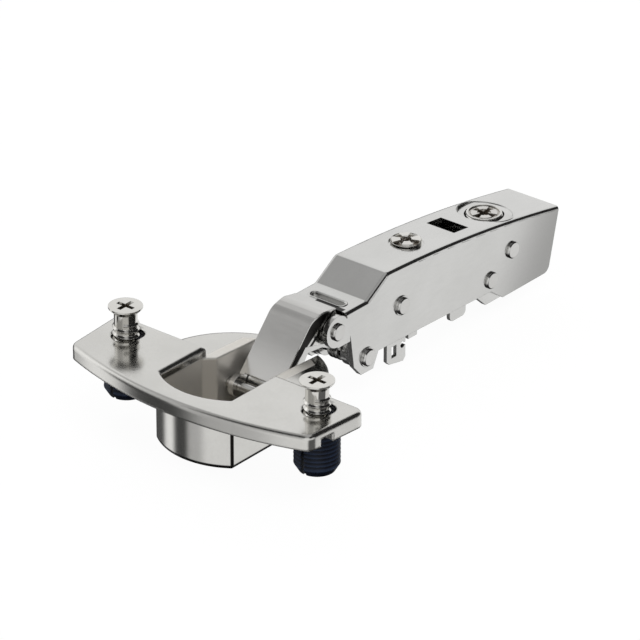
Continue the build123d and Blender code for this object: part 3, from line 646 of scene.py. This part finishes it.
@dataclass(frozen=True)
class MouldedPlastic:
    """Dark moulded plastic with a faint sheen.

    Attributes:
        name: The material's name.
        colour: The body colour.
        bloom: The colour of the paler bloom on it.
        crest: The colour of the painted highlight on the ribs' crests.
        roughness: The mean roughness.
        centre: The place of the dowels' axes, as x and the distance to either side.
        crest_radius: The radius at which the crests start.
        crest_blur: How far out from there they are at their fullest.
        grain: The strength of the grain's bump.
        unevenness: How far the roughness strays.
    """

    name: str
    colour: Colour
    bloom: Colour
    crest: Colour
    roughness: float
    centre: tuple[float, float] = (-5.5, 26.0)
    crest_radius: float = 4.6
    crest_blur: float = 0.25
    grain: float = 0.25
    unevenness: float = 0.18

    def build(self) -> Material:
        """Makes the material.

        Returns:
            The finished material.
        """
        bench = ShaderBench(bpy.data.materials.new(self.name))
        place = bench.place()
        cloud = bench.noise(place, *BLOOM)
        fine = bench.noise(place, *MOULD_GRAIN)
        colour = bench.mix(cloud.step(0.35, 0.8), self.colour, self.bloom)
        x, y, _ = bench.axes(place)
        radius = (x - self.centre[0]).reach(y.math("ABSOLUTE") - self.centre[1])
        # Painted highlight on the ribs' crests.
        lit_crests = radius.step(self.crest_radius, self.crest_radius + self.crest_blur)
        colour = bench.mix(lit_crests * (cloud * 0.6 + 0.4), colour, self.crest)
        roughness = (fine - 0.5) * self.unevenness + self.roughness
        values = {"Strength": self.grain, "Distance": MOULD_RELIEF * MM, "Height": fine}
        bump = bench.add("ShaderNodeBump", values)
        values = {"Base Color": colour, "Specular IOR Level": 0.2, "Normal": bump["Normal"]}
        return bench.close({**values, "Roughness": roughness.clamped()})


class Finish(Enum):
    """The finishes on the hinge."""

    CAST = PlatedMetal(
        "cast_nickel", (0.61, 0.603, 0.58), (0.56, 0.553, 0.53), roughness=0.16, fineness=1.4,
        # Painted dark reflection round the foot; painted light, more roughness and some mattness
        # inside the cup.
        edge=0.7, marks=(Mark(PaintedFootLines()), Mark(RoughPocketPaintedLight(), POCKET_PAINTED_LIGHT, 0.3, 0.17)),
    )
    SHEET = PlatedMetal(
        "sheet_nickel", (0.6, 0.598, 0.585), (0.56, 0.558, 0.545), roughness=0.17, fineness=1.2,
        grain=0.08, stretch=(0.25, 1.0, 1.0), edge=0.08,
        marks=(
            # Painted shade: the side walls darken towards the rear and the bottom.
            Mark(PaintedShadingFade((1.0, 0.0, -0.6), 76.0, 102.0, 7.4), (0.33, 0.328, 0.32)),
            # Painted shadow of the strap's end on the arm's neck.
            Mark(PaintedShadowBox((15.0, -5.9, 5.6), (28.0, 1.5, 9.0), 0.35)),
        ),
    )
    STRAP = PlatedMetal(
        "strap_nickel", (0.57, 0.565, 0.55), (0.52, 0.515, 0.5), roughness=0.17, fineness=1.2,
        stretch=(1.0, 0.25, 1.0), edge=0.12,
        marks=(
            # Painted light: the strap grows lighter towards its foot.
            Mark(PaintedShadingFade((0.0, 0.0, -1.0), -4.5, 3.5), (0.8, 0.79, 0.77)),
            # Painted shade in the hollow under the folded ears, which is also rougher.
            Mark(STRAP_FOLD_SHADE, rougher=0.2),
        ),
    )
    PIN = PlatedMetal(
        "pin_steel", (0.6, 0.595, 0.58), (0.53, 0.525, 0.51), roughness=0.16, fineness=2.0
    )
    SCREW = PlatedMetal(
        "screw_nickel", (0.68, 0.67, 0.64), (0.6, 0.588, 0.56), roughness=0.09, fineness=2.0,
        grain=0.06, unevenness=0.05,
        # Brown painted shade in the screws' driver recesses.
        marks=(Mark(Recess(((-5.5, 26.0), (-5.5, -26.0)), 2.4, 10.3), RECESS_SHADE_BROWN, 0.3),),
    )
    ADJUSTER = PlatedMetal(
        "adjuster_nickel", (0.68, 0.67, 0.64), (0.6, 0.588, 0.56), roughness=0.1, fineness=2.0,
        grain=0.06, unevenness=0.05,
        # Brown painted shade in the side screw's driver recess.
        marks=(Mark(Recess(((56.1, 0.0),), 3.0, 10.72), RECESS_SHADE_BROWN, 0.3),),
    )
    CAM = PlatedMetal(
        "cam_nickel", (0.64, 0.632, 0.61), (0.57, 0.56, 0.535), roughness=0.13, fineness=1.6,
        # Brown painted shade in the cam's driver recess.
        grain=0.08, marks=(Mark(Recess(((83.6, 0.0),), 3.5, 6.9), RECESS_SHADE_BROWN, 0.3),),
    )
    SPRING = PlatedMetal(
        "spring_steel", (0.3, 0.3, 0.29), (0.2, 0.2, 0.19), roughness=0.3, fineness=3.0,
        unevenness=0.1,
    )
    DOWEL = MouldedPlastic(
        # The third colour is the painted highlight on the ribs' crests.
        "dowel_plastic", (0.002, 0.003, 0.008), (0.004, 0.007, 0.016), (0.014, 0.024, 0.05), 0.42
    )


class FinishShelf:
    """Builds each finish once and hands it out."""

    def __init__(self) -> None:
        """Starts with no finish built."""
        self.made: dict[Finish, Material] = {}

    def take(self, finish: Finish) -> Material:
        """The material of a finish, built on its first use.

        Args:
            finish: The finish.

        Returns:
            Its material.
        """
        if finish not in self.made:
            self.made[finish] = finish.value.build()
            log.info("finish %s", finish.value.name)
        return self.made[finish]

    def dress_node(self, name: str, finish: Finish) -> None:
        """Gives a CAD node its finish.

        Args:
            name: The node's name.
            finish: The finish that it takes.
        """
        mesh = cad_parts[name].data
        mesh.materials.clear()
        mesh.materials.append(self.take(finish))
        log.info("node %s takes %s", name, finish.value.name)


# ---- node dressing

NODE_FINISHES: dict[Finish, tuple[str, ...]] = {
    Finish.CAST: ("cup",),
    Finish.CAM: ("depth_adjusting_cam",),
    Finish.STRAP: ("outer_link",),
    Finish.SHEET: (
        "inner_link", "arm_housing", "carrier_channel", "clip_channel", "release_lever",
    ),
    Finish.PIN: (
        "front_cup_pin", "rear_cup_pin", "upper_link_pin", "lower_link_pin", "front_rivet",
        "middle_rivet", "rear_rivet", "thrust_washers", "release_pin",
    ),
    Finish.SCREW: ("left_dowel_screw", "right_dowel_screw"),
    Finish.ADJUSTER: ("side_adjusting_screw",),
    Finish.SPRING: ("closing_spring", "release_spring"),
    Finish.DOWEL: ("left_dowel", "right_dowel"),
}


# ---- small details

# How near points of a copied mesh have to be to be merged.
MERGE_REACH = 0.002
# The angles in degrees over which edges stay sharp, on grown, copied and pressed pieces.
GROWN_SHARP, COPIED_SHARP, PRESSED_SHARP = 38.0, 32.0, 40.0


class GrowthBench(ShaderBench):
    """Builds a Geometry Nodes tree with named inputs and turns it into a plain mesh."""

    def __init__(self, name: str, sizes: dict[str, float | int]) -> None:
        """Starts a tree.

        Args:
            name: The tree's name.
            sizes: The named inputs with this piece's values.
        """
        self.tree = bpy.data.node_groups.new(name, "GeometryNodeTree")
        self.sizes = sizes
        face = self.tree.interface
        face.new_socket("Geometry", in_out="OUTPUT", socket_type="NodeSocketGeometry")
        kinds = {int: "NodeSocketInt", float: "NodeSocketFloat"}
        self.sockets = {
            size: face.new_socket(size, in_out="INPUT", socket_type=kinds[type(value)])
            for size, value in sizes.items()
        }
        self.entry = self.add("NodeGroupInput")

    def grow(self, name: str, result: Wire, material: Material) -> Object:
        """Evaluates the tree once.

        Args:
            name: The new piece's name.
            result: The geometry that the tree ends with.
            material: The piece's material.

        Returns:
            A plain mesh object with no modifier.
        """
        real = self.add("GeometryNodeRealizeInstances", {"Geometry": result})["Geometry"]
        values = {"Geometry": real, "Material": material}
        dressed = self.add("GeometryNodeSetMaterial", values)["Geometry"]
        self.add("NodeGroupOutput", {"Geometry": dressed})
        host = set_out(name, bpy.data.meshes.new(name))
        modifier = host.modifiers.new("growth", "NODES")
        modifier.node_group = self.tree
        for size, value in self.sizes.items():
            modifier[self.sockets[size].identifier] = value
        mesh = plain_mesh(host)
        host.modifiers.clear()
        host.data = mesh
        mesh.name = name
        smooth(mesh, GROWN_SHARP)
        return host

    def swept(self, path: Wire, profile: Wire) -> Wire:
        """A profile drawn along a path, upright and with closed ends.

        Args:
            path: The path's curve.
            profile: The profile's curve.

        Returns:
            The mesh as a new Wire.
        """
        path = self.add("GeometryNodeSetCurveNormal", {"Curve": path}, {"mode": "Z_UP"})["Curve"]
        values = {"Curve": path, "Profile Curve": profile, "Fill Caps": True}
        return self.add("GeometryNodeCurveToMesh", values)["Mesh"]

    def moved(self, geometry: Wire, way: Point) -> Wire:
        """Geometry moved by a fixed way."""
        values = {"Geometry": geometry, "Offset": tuple(part * MM for part in way)}
        return self.add("GeometryNodeSetPosition", values)["Geometry"]

    def joined(self, *parts: Wire) -> Wire:
        """Several geometries as one.

        Args:
            parts: The geometries.

        Returns:
            What they make together.
        """
        node = self.tree.nodes.new("GeometryNodeJoinGeometry")
        for part in parts:
            self.tree.links.new(part.socket, node.inputs[0])
        return Wire(self, node.outputs[0])


class DetailBuilder(FinishShelf):
    """Gives each detail piece its finish and its body."""

    def enter(
        self, piece: Object, body: str, slot: str, stands_for: Sequence[str] = ()
    ) -> None:
        """Enters a finished piece.

        Args:
            piece: The piece.
            body: The body that it rides on.
            slot: Not used.
            stands_for: The CAD nodes that it replaces.
        """
        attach(piece, body)
        if stands_for:
            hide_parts(*stands_for)
        log.info("piece %s rides on %s", piece.name, body)

    def copy_node(self, node: str, name: str, finish: Finish) -> Object:
        """A merged copy of a CAD node's mesh, as a new piece.

        Args:
            node: The node's name.
            name: The new piece's name.
            finish: The finish of the copy.

        Returns:
            The new object.
        """
        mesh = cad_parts[node].data.copy()
        sheet = bmesh.new()
        sheet.from_mesh(mesh)
        bmesh.ops.remove_doubles(sheet, verts=sheet.verts, dist=MERGE_REACH * MM)
        sheet.to_mesh(mesh)
        sheet.free()
        if "custom_normal" in mesh.attributes:
            mesh.attributes.remove(mesh.attributes["custom_normal"])
        return dressed_piece(name, mesh, self.take(finish), COPIED_SHARP)

    def press(self, name: str, mesh: Mesh) -> None:
        """Enters a mesh as a detail of the arm's pressed sheet."""
        piece = dressed_piece(name, mesh, self.take(Finish.SHEET), PRESSED_SHARP)
        self.enter(piece, "arm", "sheet_nickel")


@dataclass(frozen=True)
class ScrewThread:
    """The coarse thread under a dowel screw's smooth neck.

    Attributes:
        crest: The radius over the thread.
        root: The radius of its core.
        pitch: The rise of one turn.
        start: The height at which the thread begins.
        foot: The height at which it ends.
        cut: The height down to which the screw's own shape is kept.
        axis_x: The place of the screw's axis across the dowels' line.
        facets: The number of sides of a turn and of the core.
        core: How much longer than the thread the core is, and how much lower it lies.
    """

    crest: float = 2.9
    root: float = 2.45
    pitch: float = 1.45
    start: float = 6.7
    foot: float = -2.6
    cut: float = 5.8
    axis_x: float = -5.5
    facets: int = 40
    core: tuple[float, float] = (0.4, 0.3)

    def build(self, maker: DetailBuilder, side: str, y: float) -> None:
        """Builds one screw's head and thread in place of its node.

        Args:
            maker: The builder that enters the pieces.
            side: The side's name, which starts the node's name.
            y: The screw's place along the dowels' line.
        """
        node = f"{side}_dowel_screw"
        head = maker.copy_node(node, f"{node}_head", Finish.SCREW)
        sheet = bmesh.new()
        sheet.from_mesh(head.data)
        cut = bmesh.ops.bisect_plane(
            sheet,
            geom=[*sheet.verts, *sheet.edges, *sheet.faces],
            plane_co=(0.0, 0.0, self.cut * MM),
            plane_no=(0.0, 0.0, 1.0),
            clear_inner=True,
        )
        rim = [part for part in cut["geom_cut"] if isinstance(part, bmesh.types.BMEdge)]
        bmesh.ops.edgeloop_fill(sheet, edges=rim)
        sheet.to_mesh(head.data)
        sheet.free()
        maker.enter(head, f"{side}_screw", "screw_nickel", [node])
        thread = self._thread(maker, f"{node}_thread", y)
        maker.enter(thread, f"{side}_screw", "screw_nickel")

    def _thread(self, maker: DetailBuilder, name: str, y: float) -> Object:
        """The helical ridge and the core that it stands on.

        Args:
            maker: The builder that has the finish.
            name: The piece's name.
            y: The screw's place along the dowels' line.

        Returns:
            The piece, not entered yet.
        """
        sizes = {
            "Centre radius": self.root * MM,
            "Ridge": (self.crest - self.root) * MM,
            "Rise": (self.start - self.foot) * MM,
            "Turns": (self.start - self.foot) / self.pitch,
            "Steps": self.facets,
        }
        bench = GrowthBench("screw_thread", sizes)
        entry = bench.entry
        values = {
            "Resolution": entry["Steps"],
            "Rotations": entry["Turns"],
            "Start Radius": entry["Centre radius"],
            "End Radius": entry["Centre radius"],
            "Height": entry["Rise"],
        }
        path = bench.add("GeometryNodeCurveSpiral", values)["Curve"]
        values = {"Resolution": 4, "Radius": entry["Ridge"]}
        ridge = bench.add("GeometryNodeCurvePrimitiveCircle", values)["Curve"]
        helix = bench.moved(bench.swept(path, ridge), (self.axis_x, y, self.foot))
        values = {
            "Vertices": self.facets,
            "Radius": entry["Centre radius"],
            "Depth": entry["Rise"] + self.core[0] * MM,
        }
        core = bench.add("GeometryNodeMeshCylinder", values)["Mesh"]
        middle = (self.start + self.foot) / 2 - self.core[1]
        core = bench.moved(core, (self.axis_x, y, middle))
        return bench.grow(name, bench.joined(helix, core), maker.take(Finish.SCREW))


@dataclass(frozen=True)
class PetalRing:
    """Raised lobes in a ring, as left between the arms of a driver cross.

    Attributes:
        centre: The ring's centre as x and y.
        radius: The lobes' middle radius.
        width: Their radial width.
        height: How far they rise.
        sweep: The angle that each spans, in degrees.
        count: How many there are.
        foot: The height at which they stand.
        rounding: The rounding of their edges.
        steps: The number of steps along each.
    """

    centre: tuple[float, float]
    radius: float
    width: float
    height: float
    foot: float
    rounding: float
    sweep: float
    count: int = 4
    steps: int = 16

    def build(self, maker: DetailBuilder, name: str, finish: Finish) -> Object:
        """Builds the ring.

        Args:
            maker: The builder that has the finish.
            name: The piece's name.
            finish: Its finish.

        Returns:
            The piece, not entered yet.
        """
        sizes = {
            "Middle radius": self.radius * MM,
            "Width": self.width * MM,
            "Height": self.height * MM,
            "Sweep": radians(self.sweep),
            "Count": self.count,
            "Rounding": self.rounding * MM,
        }
        bench = GrowthBench("petal_ring", sizes)
        entry = bench.entry
        values = {
            "Resolution": self.steps,
            "Radius": entry["Middle radius"],
            "Start Angle": entry["Sweep"] * -0.5,
            "Sweep Angle": entry["Sweep"],
        }
        path = bench.add("GeometryNodeCurveArc", values, {"mode": "RADIUS"})["Curve"]
        values = {"Width": entry["Width"], "Height": entry["Height"]}
        bar = bench.add("GeometryNodeCurvePrimitiveQuadrilateral", values)["Curve"]
        values = {"Curve": bar, "Count": 4, "Radius": entry["Rounding"]}
        bar = bench.add("GeometryNodeFilletCurve", values, {"mode": "POLY"})["Curve"]
        lobe = bench.swept(path, bar)
        spots = bench.add("GeometryNodePoints", {"Count": entry["Count"]})["Points"]
        index = bench.add("GeometryNodeInputIndex")["Index"]
        turn = index.math("DIVIDE", entry["Count"]) * tau + pi / 4
        facing = bench.add("ShaderNodeCombineXYZ", {"Z": turn})["Vector"]
        values = {"Points": spots, "Instance": lobe, "Rotation": facing}
        ring = bench.add("GeometryNodeInstanceOnPoints", values)["Instances"]
        ring = bench.add("GeometryNodeRealizeInstances", {"Geometry": ring})["Geometry"]
        ring = bench.moved(ring, (*self.centre, self.foot + self.height / 2))
        return bench.grow(name, ring, maker.take(finish))


@dataclass(frozen=True)
class AdjusterHeads:
    """The raised, lobed heads of the side screw and of the depth cam.

    Attributes:
        screw: The side screw's centre.
        screw_top: Its head's top.
        screw_sink: How far the head's middle lies below its lobes.
        cam: The cam's centre.
        cam_top: The cam's top.
        overlap: How far the lobes reach into what carries them.
    """

    screw: tuple[float, float] = (56.1, 0.0)
    screw_top: float = 10.7
    screw_sink: float = 0.65
    cam: tuple[float, float] = (83.6, 0.0)
    cam_top: float = 6.43
    overlap: float = 0.02

    def build(self, maker: DetailBuilder) -> None:
        """Builds both heads.

        Args:
            maker: The builder that enters the pieces.
        """
        node = "side_adjusting_screw"
        screw = maker.copy_node(node, "side_screw_body", Finish.ADJUSTER)
        for vertex in screw.data.vertices:
            if vertex.co.z > (self.screw_top - 0.2) * MM:
                vertex.co.z -= self.screw_sink * MM
        maker.enter(screw, "side_screw", "screw_nickel", [node])
        petals = PetalRing(
            self.screw, radius=2.2, width=2.1, height=self.screw_sink,
            foot=self.screw_top - self.screw_sink - self.overlap, rounding=0.2, sweep=50.0,
        )
        grown = petals.build(maker, "side_screw_petals", Finish.ADJUSTER)
        maker.enter(grown, "side_screw", "screw_nickel")
        foot = self.cam_top - self.overlap
        petals = PetalRing(
            self.cam, radius=2.25, width=1.5, height=0.22, foot=foot, rounding=0.1, sweep=56.0
        )
        maker.enter(petals.build(maker, "cam_petals", Finish.CAM), "cam", "cast_nickel")
        rim = PetalRing(
            self.cam, radius=3.72, width=0.55, height=0.3, foot=foot, rounding=0.12,
            sweep=359.9, count=1, steps=48,
        )
        maker.enter(rim.build(maker, "cam_rim", Finish.CAM), "cam", "cast_nickel")


def rolled_bead(points: Sequence[Point], radius: float, is_closed: bool) -> Mesh:
    """Makes a round bead along a line of points.

    Args:
        points: The bead's middle line.
        radius: The bead's radius.
        is_closed: Whether the line comes back to its start.

    Returns:
        The bead's mesh.
    """
    curve = bpy.data.curves.new("bead", "CURVE")
    curve.dimensions = "3D"
    curve.bevel_depth = radius * MM
    curve.bevel_resolution = 3
    curve.use_fill_caps = not is_closed
    spline = curve.splines.new("POLY")
    spline.points.add(len(points) - 1)
    for point, (x, y, z) in zip(spline.points, points):
        point.co = (x * MM, y * MM, z * MM, 1.0)
    spline.use_cyclic_u = is_closed
    host = set_out("bead", curve)
    mesh = plain_mesh(host)
    bpy.data.objects.remove(host)
    return mesh


@dataclass(frozen=True)
class DishRim:
    """The low lip round the rear half of the depth cam's dish.

    Attributes:
        centre_x: The dish's place along the arm.
        radius: The lip's radius.
        bead: The radius of the lip's section.
        half_turn: How far the lip reaches to either side of the rear, in degrees.
        crown: The arm's top as a place along the arm, its height, slope and curve.
        sinks: How deep the lip lies, in beads: in its middle and more at its ends.
        steps: The number of steps to either side.
    """

    centre_x: float = 83.6
    radius: float = 6.45
    bead: float = 0.3
    half_turn: float = 128.0
    crown: tuple[float, float, float, float] = (76.0, 7.71, 0.1295, 0.00113)
    sinks: tuple[float, float] = (0.35, 0.7)
    steps: int = 24

    def build(self, maker: DetailBuilder) -> None:
        """Builds the lip.

        Args:
            maker: The builder that enters the piece.
        """
        start, height, slope, curve = self.crown
        points = []
        for step in range(-self.steps, self.steps + 1):
            share = step / self.steps
            angle = radians(self.half_turn) * share
            x = self.centre_x + self.radius * cos(angle)
            along = x - start
            sink = self.sinks[0] + self.sinks[1] * abs(share) ** 6
            z = height - slope * along - curve * along**2 - self.bead * sink
            points.append((x, self.radius * sin(angle), z))
        maker.press("cam_dish_lip", rolled_bead(points, self.bead, False))


@dataclass(frozen=True)
class NeckPocket:
    """The rolled rim and the pressed floor of the slot in the arm's neck.

    Attributes:
        centre_x: The slot's place along the arm.
        half_length: Half of its length across the arm.
        half_width: Half of its width.
        top: The neck's height.
        rim: The radius of the rolled rim.
        floor_drop: How far down the floor lies.
        floor_sheet: The floor's thickness and how far it reaches under the rim.
        steps: The number of steps round each end.
    """

    centre_x: float = 29.6
    half_length: float = 4.6
    half_width: float = 1.1
    top: float = 6.5
    rim: float = 0.34
    floor_drop: float = 0.8
    floor_sheet: float = 0.25
    steps: int = 12

    def _outline(self, grow: float) -> list[tuple[float, float]]:
        """Points round the slot.

        Args:
            grow: How far out of the slot they lie.

        Returns:
            The points as x and y.
        """
        radius = self.half_width + grow
        reach = self.half_length - self.half_width
        points = []
        for end, first in ((reach, 0.0), (-reach, pi)):
            for step in range(self.steps + 1):
                angle = first + pi * step / self.steps
                x = self.centre_x + radius * cos(angle)
                points.append((x, end + radius * sin(angle)))
        return points

    def build(self, maker: DetailBuilder) -> None:
        """Builds the rim and the floor.

        Args:
            maker: The builder that enters the pieces.
        """
        level = self.top - self.rim * 0.45
        points = [(x, y, level) for x, y in self._outline(self.rim * 0.6)]
        maker.press("neck_slot_rim", rolled_bead(points, self.rim, True))
        maker.press("neck_slot_floor", self._floor())

    def _floor(self) -> Mesh:
        """A thin pressed floor under the slot.

        Returns:
            Its mesh.
        """
        sheet = bmesh.new()
        level = (self.top - self.floor_drop) * MM
        outline = self._outline(self.floor_sheet)
        face = sheet.faces.new([sheet.verts.new((x * MM, y * MM, level)) for x, y in outline])
        grown = bmesh.ops.extrude_face_region(sheet, geom=[face])
        moved = [part for part in grown["geom"] if isinstance(part, bmesh.types.BMVert)]
        bmesh.ops.translate(sheet, verts=moved, vec=(0.0, 0.0, -self.floor_sheet * MM))
        bmesh.ops.recalc_face_normals(sheet, faces=sheet.faces)
        mesh = bpy.data.meshes.new("neck_slot_floor")
        sheet.to_mesh(mesh)
        sheet.free()
        return mesh


# ---- studio


@dataclass(frozen=True)
class SoftBox:
    """One rectangular lamp of the studio.

    Attributes:
        name: The lamp's name.
        direction: Where it stands, seen from the hinge.
        distance: How far off it stands, in metres.
        size: Its width and height in metres.
        power: Its power in watts.
    """

    name: str
    direction: Point
    distance: float
    size: tuple[float, float]
    power: float

    def build(self, aim: Vector) -> None:
        """Hangs the lamp.

        Args:
            aim: The place on the hinge that it is turned to.
        """
        data = bpy.data.lights.new(self.name, "AREA")
        data.shape = "RECTANGLE"
        data.size, data.size_y = self.size
        data.energy = self.power
        lamp = set_out(self.name, data)
        lamp.visible_glossy = False
        way = Vector(self.direction).normalized()
        lamp.location = aim + way * self.distance
        lamp.rotation_euler = (-way).to_track_quat("-Z", "Y").to_euler()


@dataclass(frozen=True)
class Card:
    """A far card of the studio, seen only in reflections.

    Attributes:
        azimuth: Its heading from +X towards +Y in degrees.
        elevation: Its height over the horizon in degrees.
        reach: Half of its width and half of its height in degrees.
        blur: The width of its soft edge in degrees.
        level: The brightness that metal sees in it.
        is_round: Whether it is a disc and not a rectangle.
    """

    azimuth: float
    elevation: float
    reach: tuple[float, float]
    blur: float
    level: float
    is_round: bool = False

    def share(self, bench: ShaderBench, heading: Wire) -> Wire:
        """How much of the card a heading meets.

        Args:
            bench: The bench that makes the room.
            heading: The unit vector of a ray that leaves the hinge.

        Returns:
            1 on the card, 0 beside it.
        """
        a, e = radians(self.azimuth), radians(self.elevation)
        ahead = (cos(a) * cos(e), sin(a) * cos(e), sin(e))
        right = (-sin(a), cos(a), 0.0)
        over = (-cos(a) * sin(e), -sin(a) * sin(e), cos(e))
        if self.is_round:
            inner, outer = radians(self.reach[0]), radians(self.reach[0] + self.blur)
            return bench.dot(heading, ahead).step(cos(outer), cos(inner))
        share = bench.dot(heading, ahead).step(0.0, 0.1)
        for axis, half in ((right, self.reach[0]), (over, self.reach[1])):
            inner = sin(radians(half))
            outer = sin(radians(min(half + self.blur, 90.0)))
            offset = bench.dot(heading, axis).math("ABSOLUTE")
            share = share * (1.0 - offset.step(inner, outer))
        return share


@dataclass(frozen=True)
class Studio:
    """The pale floor, the soft light and the camera.

    Attributes:
        floor_level: The floor's height in metres.
        floor_reach: The floor's half width in metres.
        room_level: The room's level for diffuse light.
        wall_level: The level that metal sees where there is no card.
        lens: The camera's focal length.
        station: The camera's place in metres.
        azimuth: The camera's heading from +X towards +Y in degrees.
        elevation: How far it looks down in degrees.
        roll: Its roll in degrees.
        sensor: The width of its sensor.
        clip: How near and how far it sees, in metres.
        aim: The place that the lamps are turned to.
        lamps: The lamps.
        cards: The cards, each over the ones before it.
    """

    floor_level: float = -0.01485
    floor_reach: float = 3.0
    room_level: float = 0.75
    wall_level: float = 1.0
    lens: float = 281.25
    station: Point = (-0.69976, -0.59699, 0.48794)
    azimuth: float = 39.4
    elevation: float = 27.3
    roll: float = 0.1
    sensor: float = 36.0
    clip: tuple[float, float] = (0.01, 20.0)
    aim: Point = (0.035, 0.0, 0.0)
    lamps: tuple[SoftBox, ...] = (
        SoftBox("key_lamp", (-0.3, -0.5, 1.0), 0.9, (0.6, 0.6), 4.0),
        SoftBox("back_lamp", (0.6, 0.8, 0.7), 1.2, (0.9, 0.5), 5.0),
    )
    cards: tuple[Card, ...] = (
        Card(90, 90, (40, 40), 14, 0.5, True),
        Card(0, -90, (47, 47), 8, 0.02, True),
        Card(39, 31, (18, 12), 9, 1.02),
        Card(36, 13, (8, 5), 7, 1.02),
        Card(155, 30, (22, 22), 18, 0.65),
        Card(158, -27, (4, 30), 14, 0.6),
        Card(111, 10, (5, 24), 9, 1.3),
        Card(112, -27, (3, 20), 8, 1.15),
        Card(66, -27, (22, 22), 12, 0.1),
        Card(134, -20, (7, 20), 9, 0.07),
        Card(166, 54, (17, 15), 8, 0.04),
        Card(-33, 31.5, (25.5, 26), 8, 0.02),
        Card(-80, 39, (24, 17), 8, 0.02),
        Card(-90, -27, (28, 15), 8, 0.14),
    )

    def build(self) -> None:
        """Builds the whole studio."""
        self._world()
        self._floor()
        for lamp in self.lamps:
            lamp.build(Vector(self.aim))
        self._camera()
        bpy.context.scene.view_settings.view_transform = "Standard"
        log.info("studio built")

    def _world(self) -> None:
        """White behind the hinge, cards in its reflections, and a plain level as light."""
        world = bpy.data.worlds.new("studio_room")
        bpy.context.scene.world = world
        bench = ShaderBench(world)
        rays = bench.add("ShaderNodeLightPath")
        heading = bench.add("ShaderNodeTexCoord")["Generated"]
        metal: Wire | float = self.wall_level
        for card in self.cards:
            metal = card.share(bench, heading) * (card.level - metal) + metal
        strength = self._seen(rays) * (1.0 - self.room_level) + self.room_level
        strength = strength + rays["Is Glossy Ray"] * (metal - strength)
        room = bench.add("ShaderNodeBackground", {"Color": WHITE, "Strength": strength})
        bench.add("ShaderNodeOutputWorld", {"Surface": room["Background"]})

    @staticmethod
    def _seen(rays: Made) -> Wire:
        """1 for camera, glossy and transmission rays, 0 for the rest."""
        seen = rays["Is Camera Ray"].math("MAXIMUM", rays["Is Glossy Ray"])
        return seen.math("MAXIMUM", rays["Is Transmission Ray"])

    def _floor(self) -> None:
        """A pale floor that keeps a faint shadow."""
        reach, level = self.floor_reach, self.floor_level
        mesh = bpy.data.meshes.new("pale_floor")
        corners = [(-reach, -reach), (reach, -reach), (reach, reach), (-reach, reach)]
        mesh.from_pydata([(x, y, level) for x, y in corners], [], [(0, 1, 2, 3)])
        floor = set_out("pale_floor", mesh)
        bench = ShaderBench(bpy.data.materials.new("pale_floor"))
        paint = bench.add("ShaderNodeBsdfDiffuse", {"Color": (0.9, 0.9, 0.9)})
        glow = bench.add("ShaderNodeEmission", {"Color": WHITE, "Strength": 1.0})
        rays = bench.add("ShaderNodeLightPath")
        values = {0: self._seen(rays) * 0.96, 1: paint["BSDF"], 2: glow["Emission"]}
        mixed = bench.add("ShaderNodeMixShader", values)
        bench.add("ShaderNodeOutputMaterial", {"Surface": mixed["Shader"]})
        mesh.materials.append(bench.owner)
        floor.visible_glossy = False

    def _camera(self) -> None:
        """Sets the camera at its station."""
        data = bpy.data.cameras.new("studio_camera")
        data.lens = self.lens
        data.sensor_width = self.sensor
        data.clip_start, data.clip_end = self.clip
        camera = set_out("studio_camera", data)
        a, e, r = (radians(v) for v in (self.azimuth, self.elevation, self.roll))
        forward = Vector((cos(a) * cos(e), sin(a) * cos(e), -sin(e)))
        side = Vector((sin(a), -cos(a), 0.0))
        up = side.cross(forward)
        right = side * cos(r) + up * sin(r)
        over = up * cos(r) - side * sin(r)
        axes = Matrix((right, over, -forward)).transposed()
        camera.matrix_world = Matrix.Translation(self.station) @ axes.to_4x4()
        bpy.context.scene.camera = camera


def main() -> None:
    """Dresses the nodes, builds the details and the studio."""
    logging.basicConfig(level=logging.INFO, format="%(name)s: %(message)s")
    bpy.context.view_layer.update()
    maker = DetailBuilder()
    for finish, names in NODE_FINISHES.items():
        for name in names:
            maker.dress_node(name, finish)
    for side, y in (("left", 26.0), ("right", -26.0)):
        ScrewThread().build(maker, side, y)
    AdjusterHeads().build(maker)
    NeckPocket().build(maker)
    DishRim().build(maker)
    Studio().build()


if __name__ == "__main__":
    main()
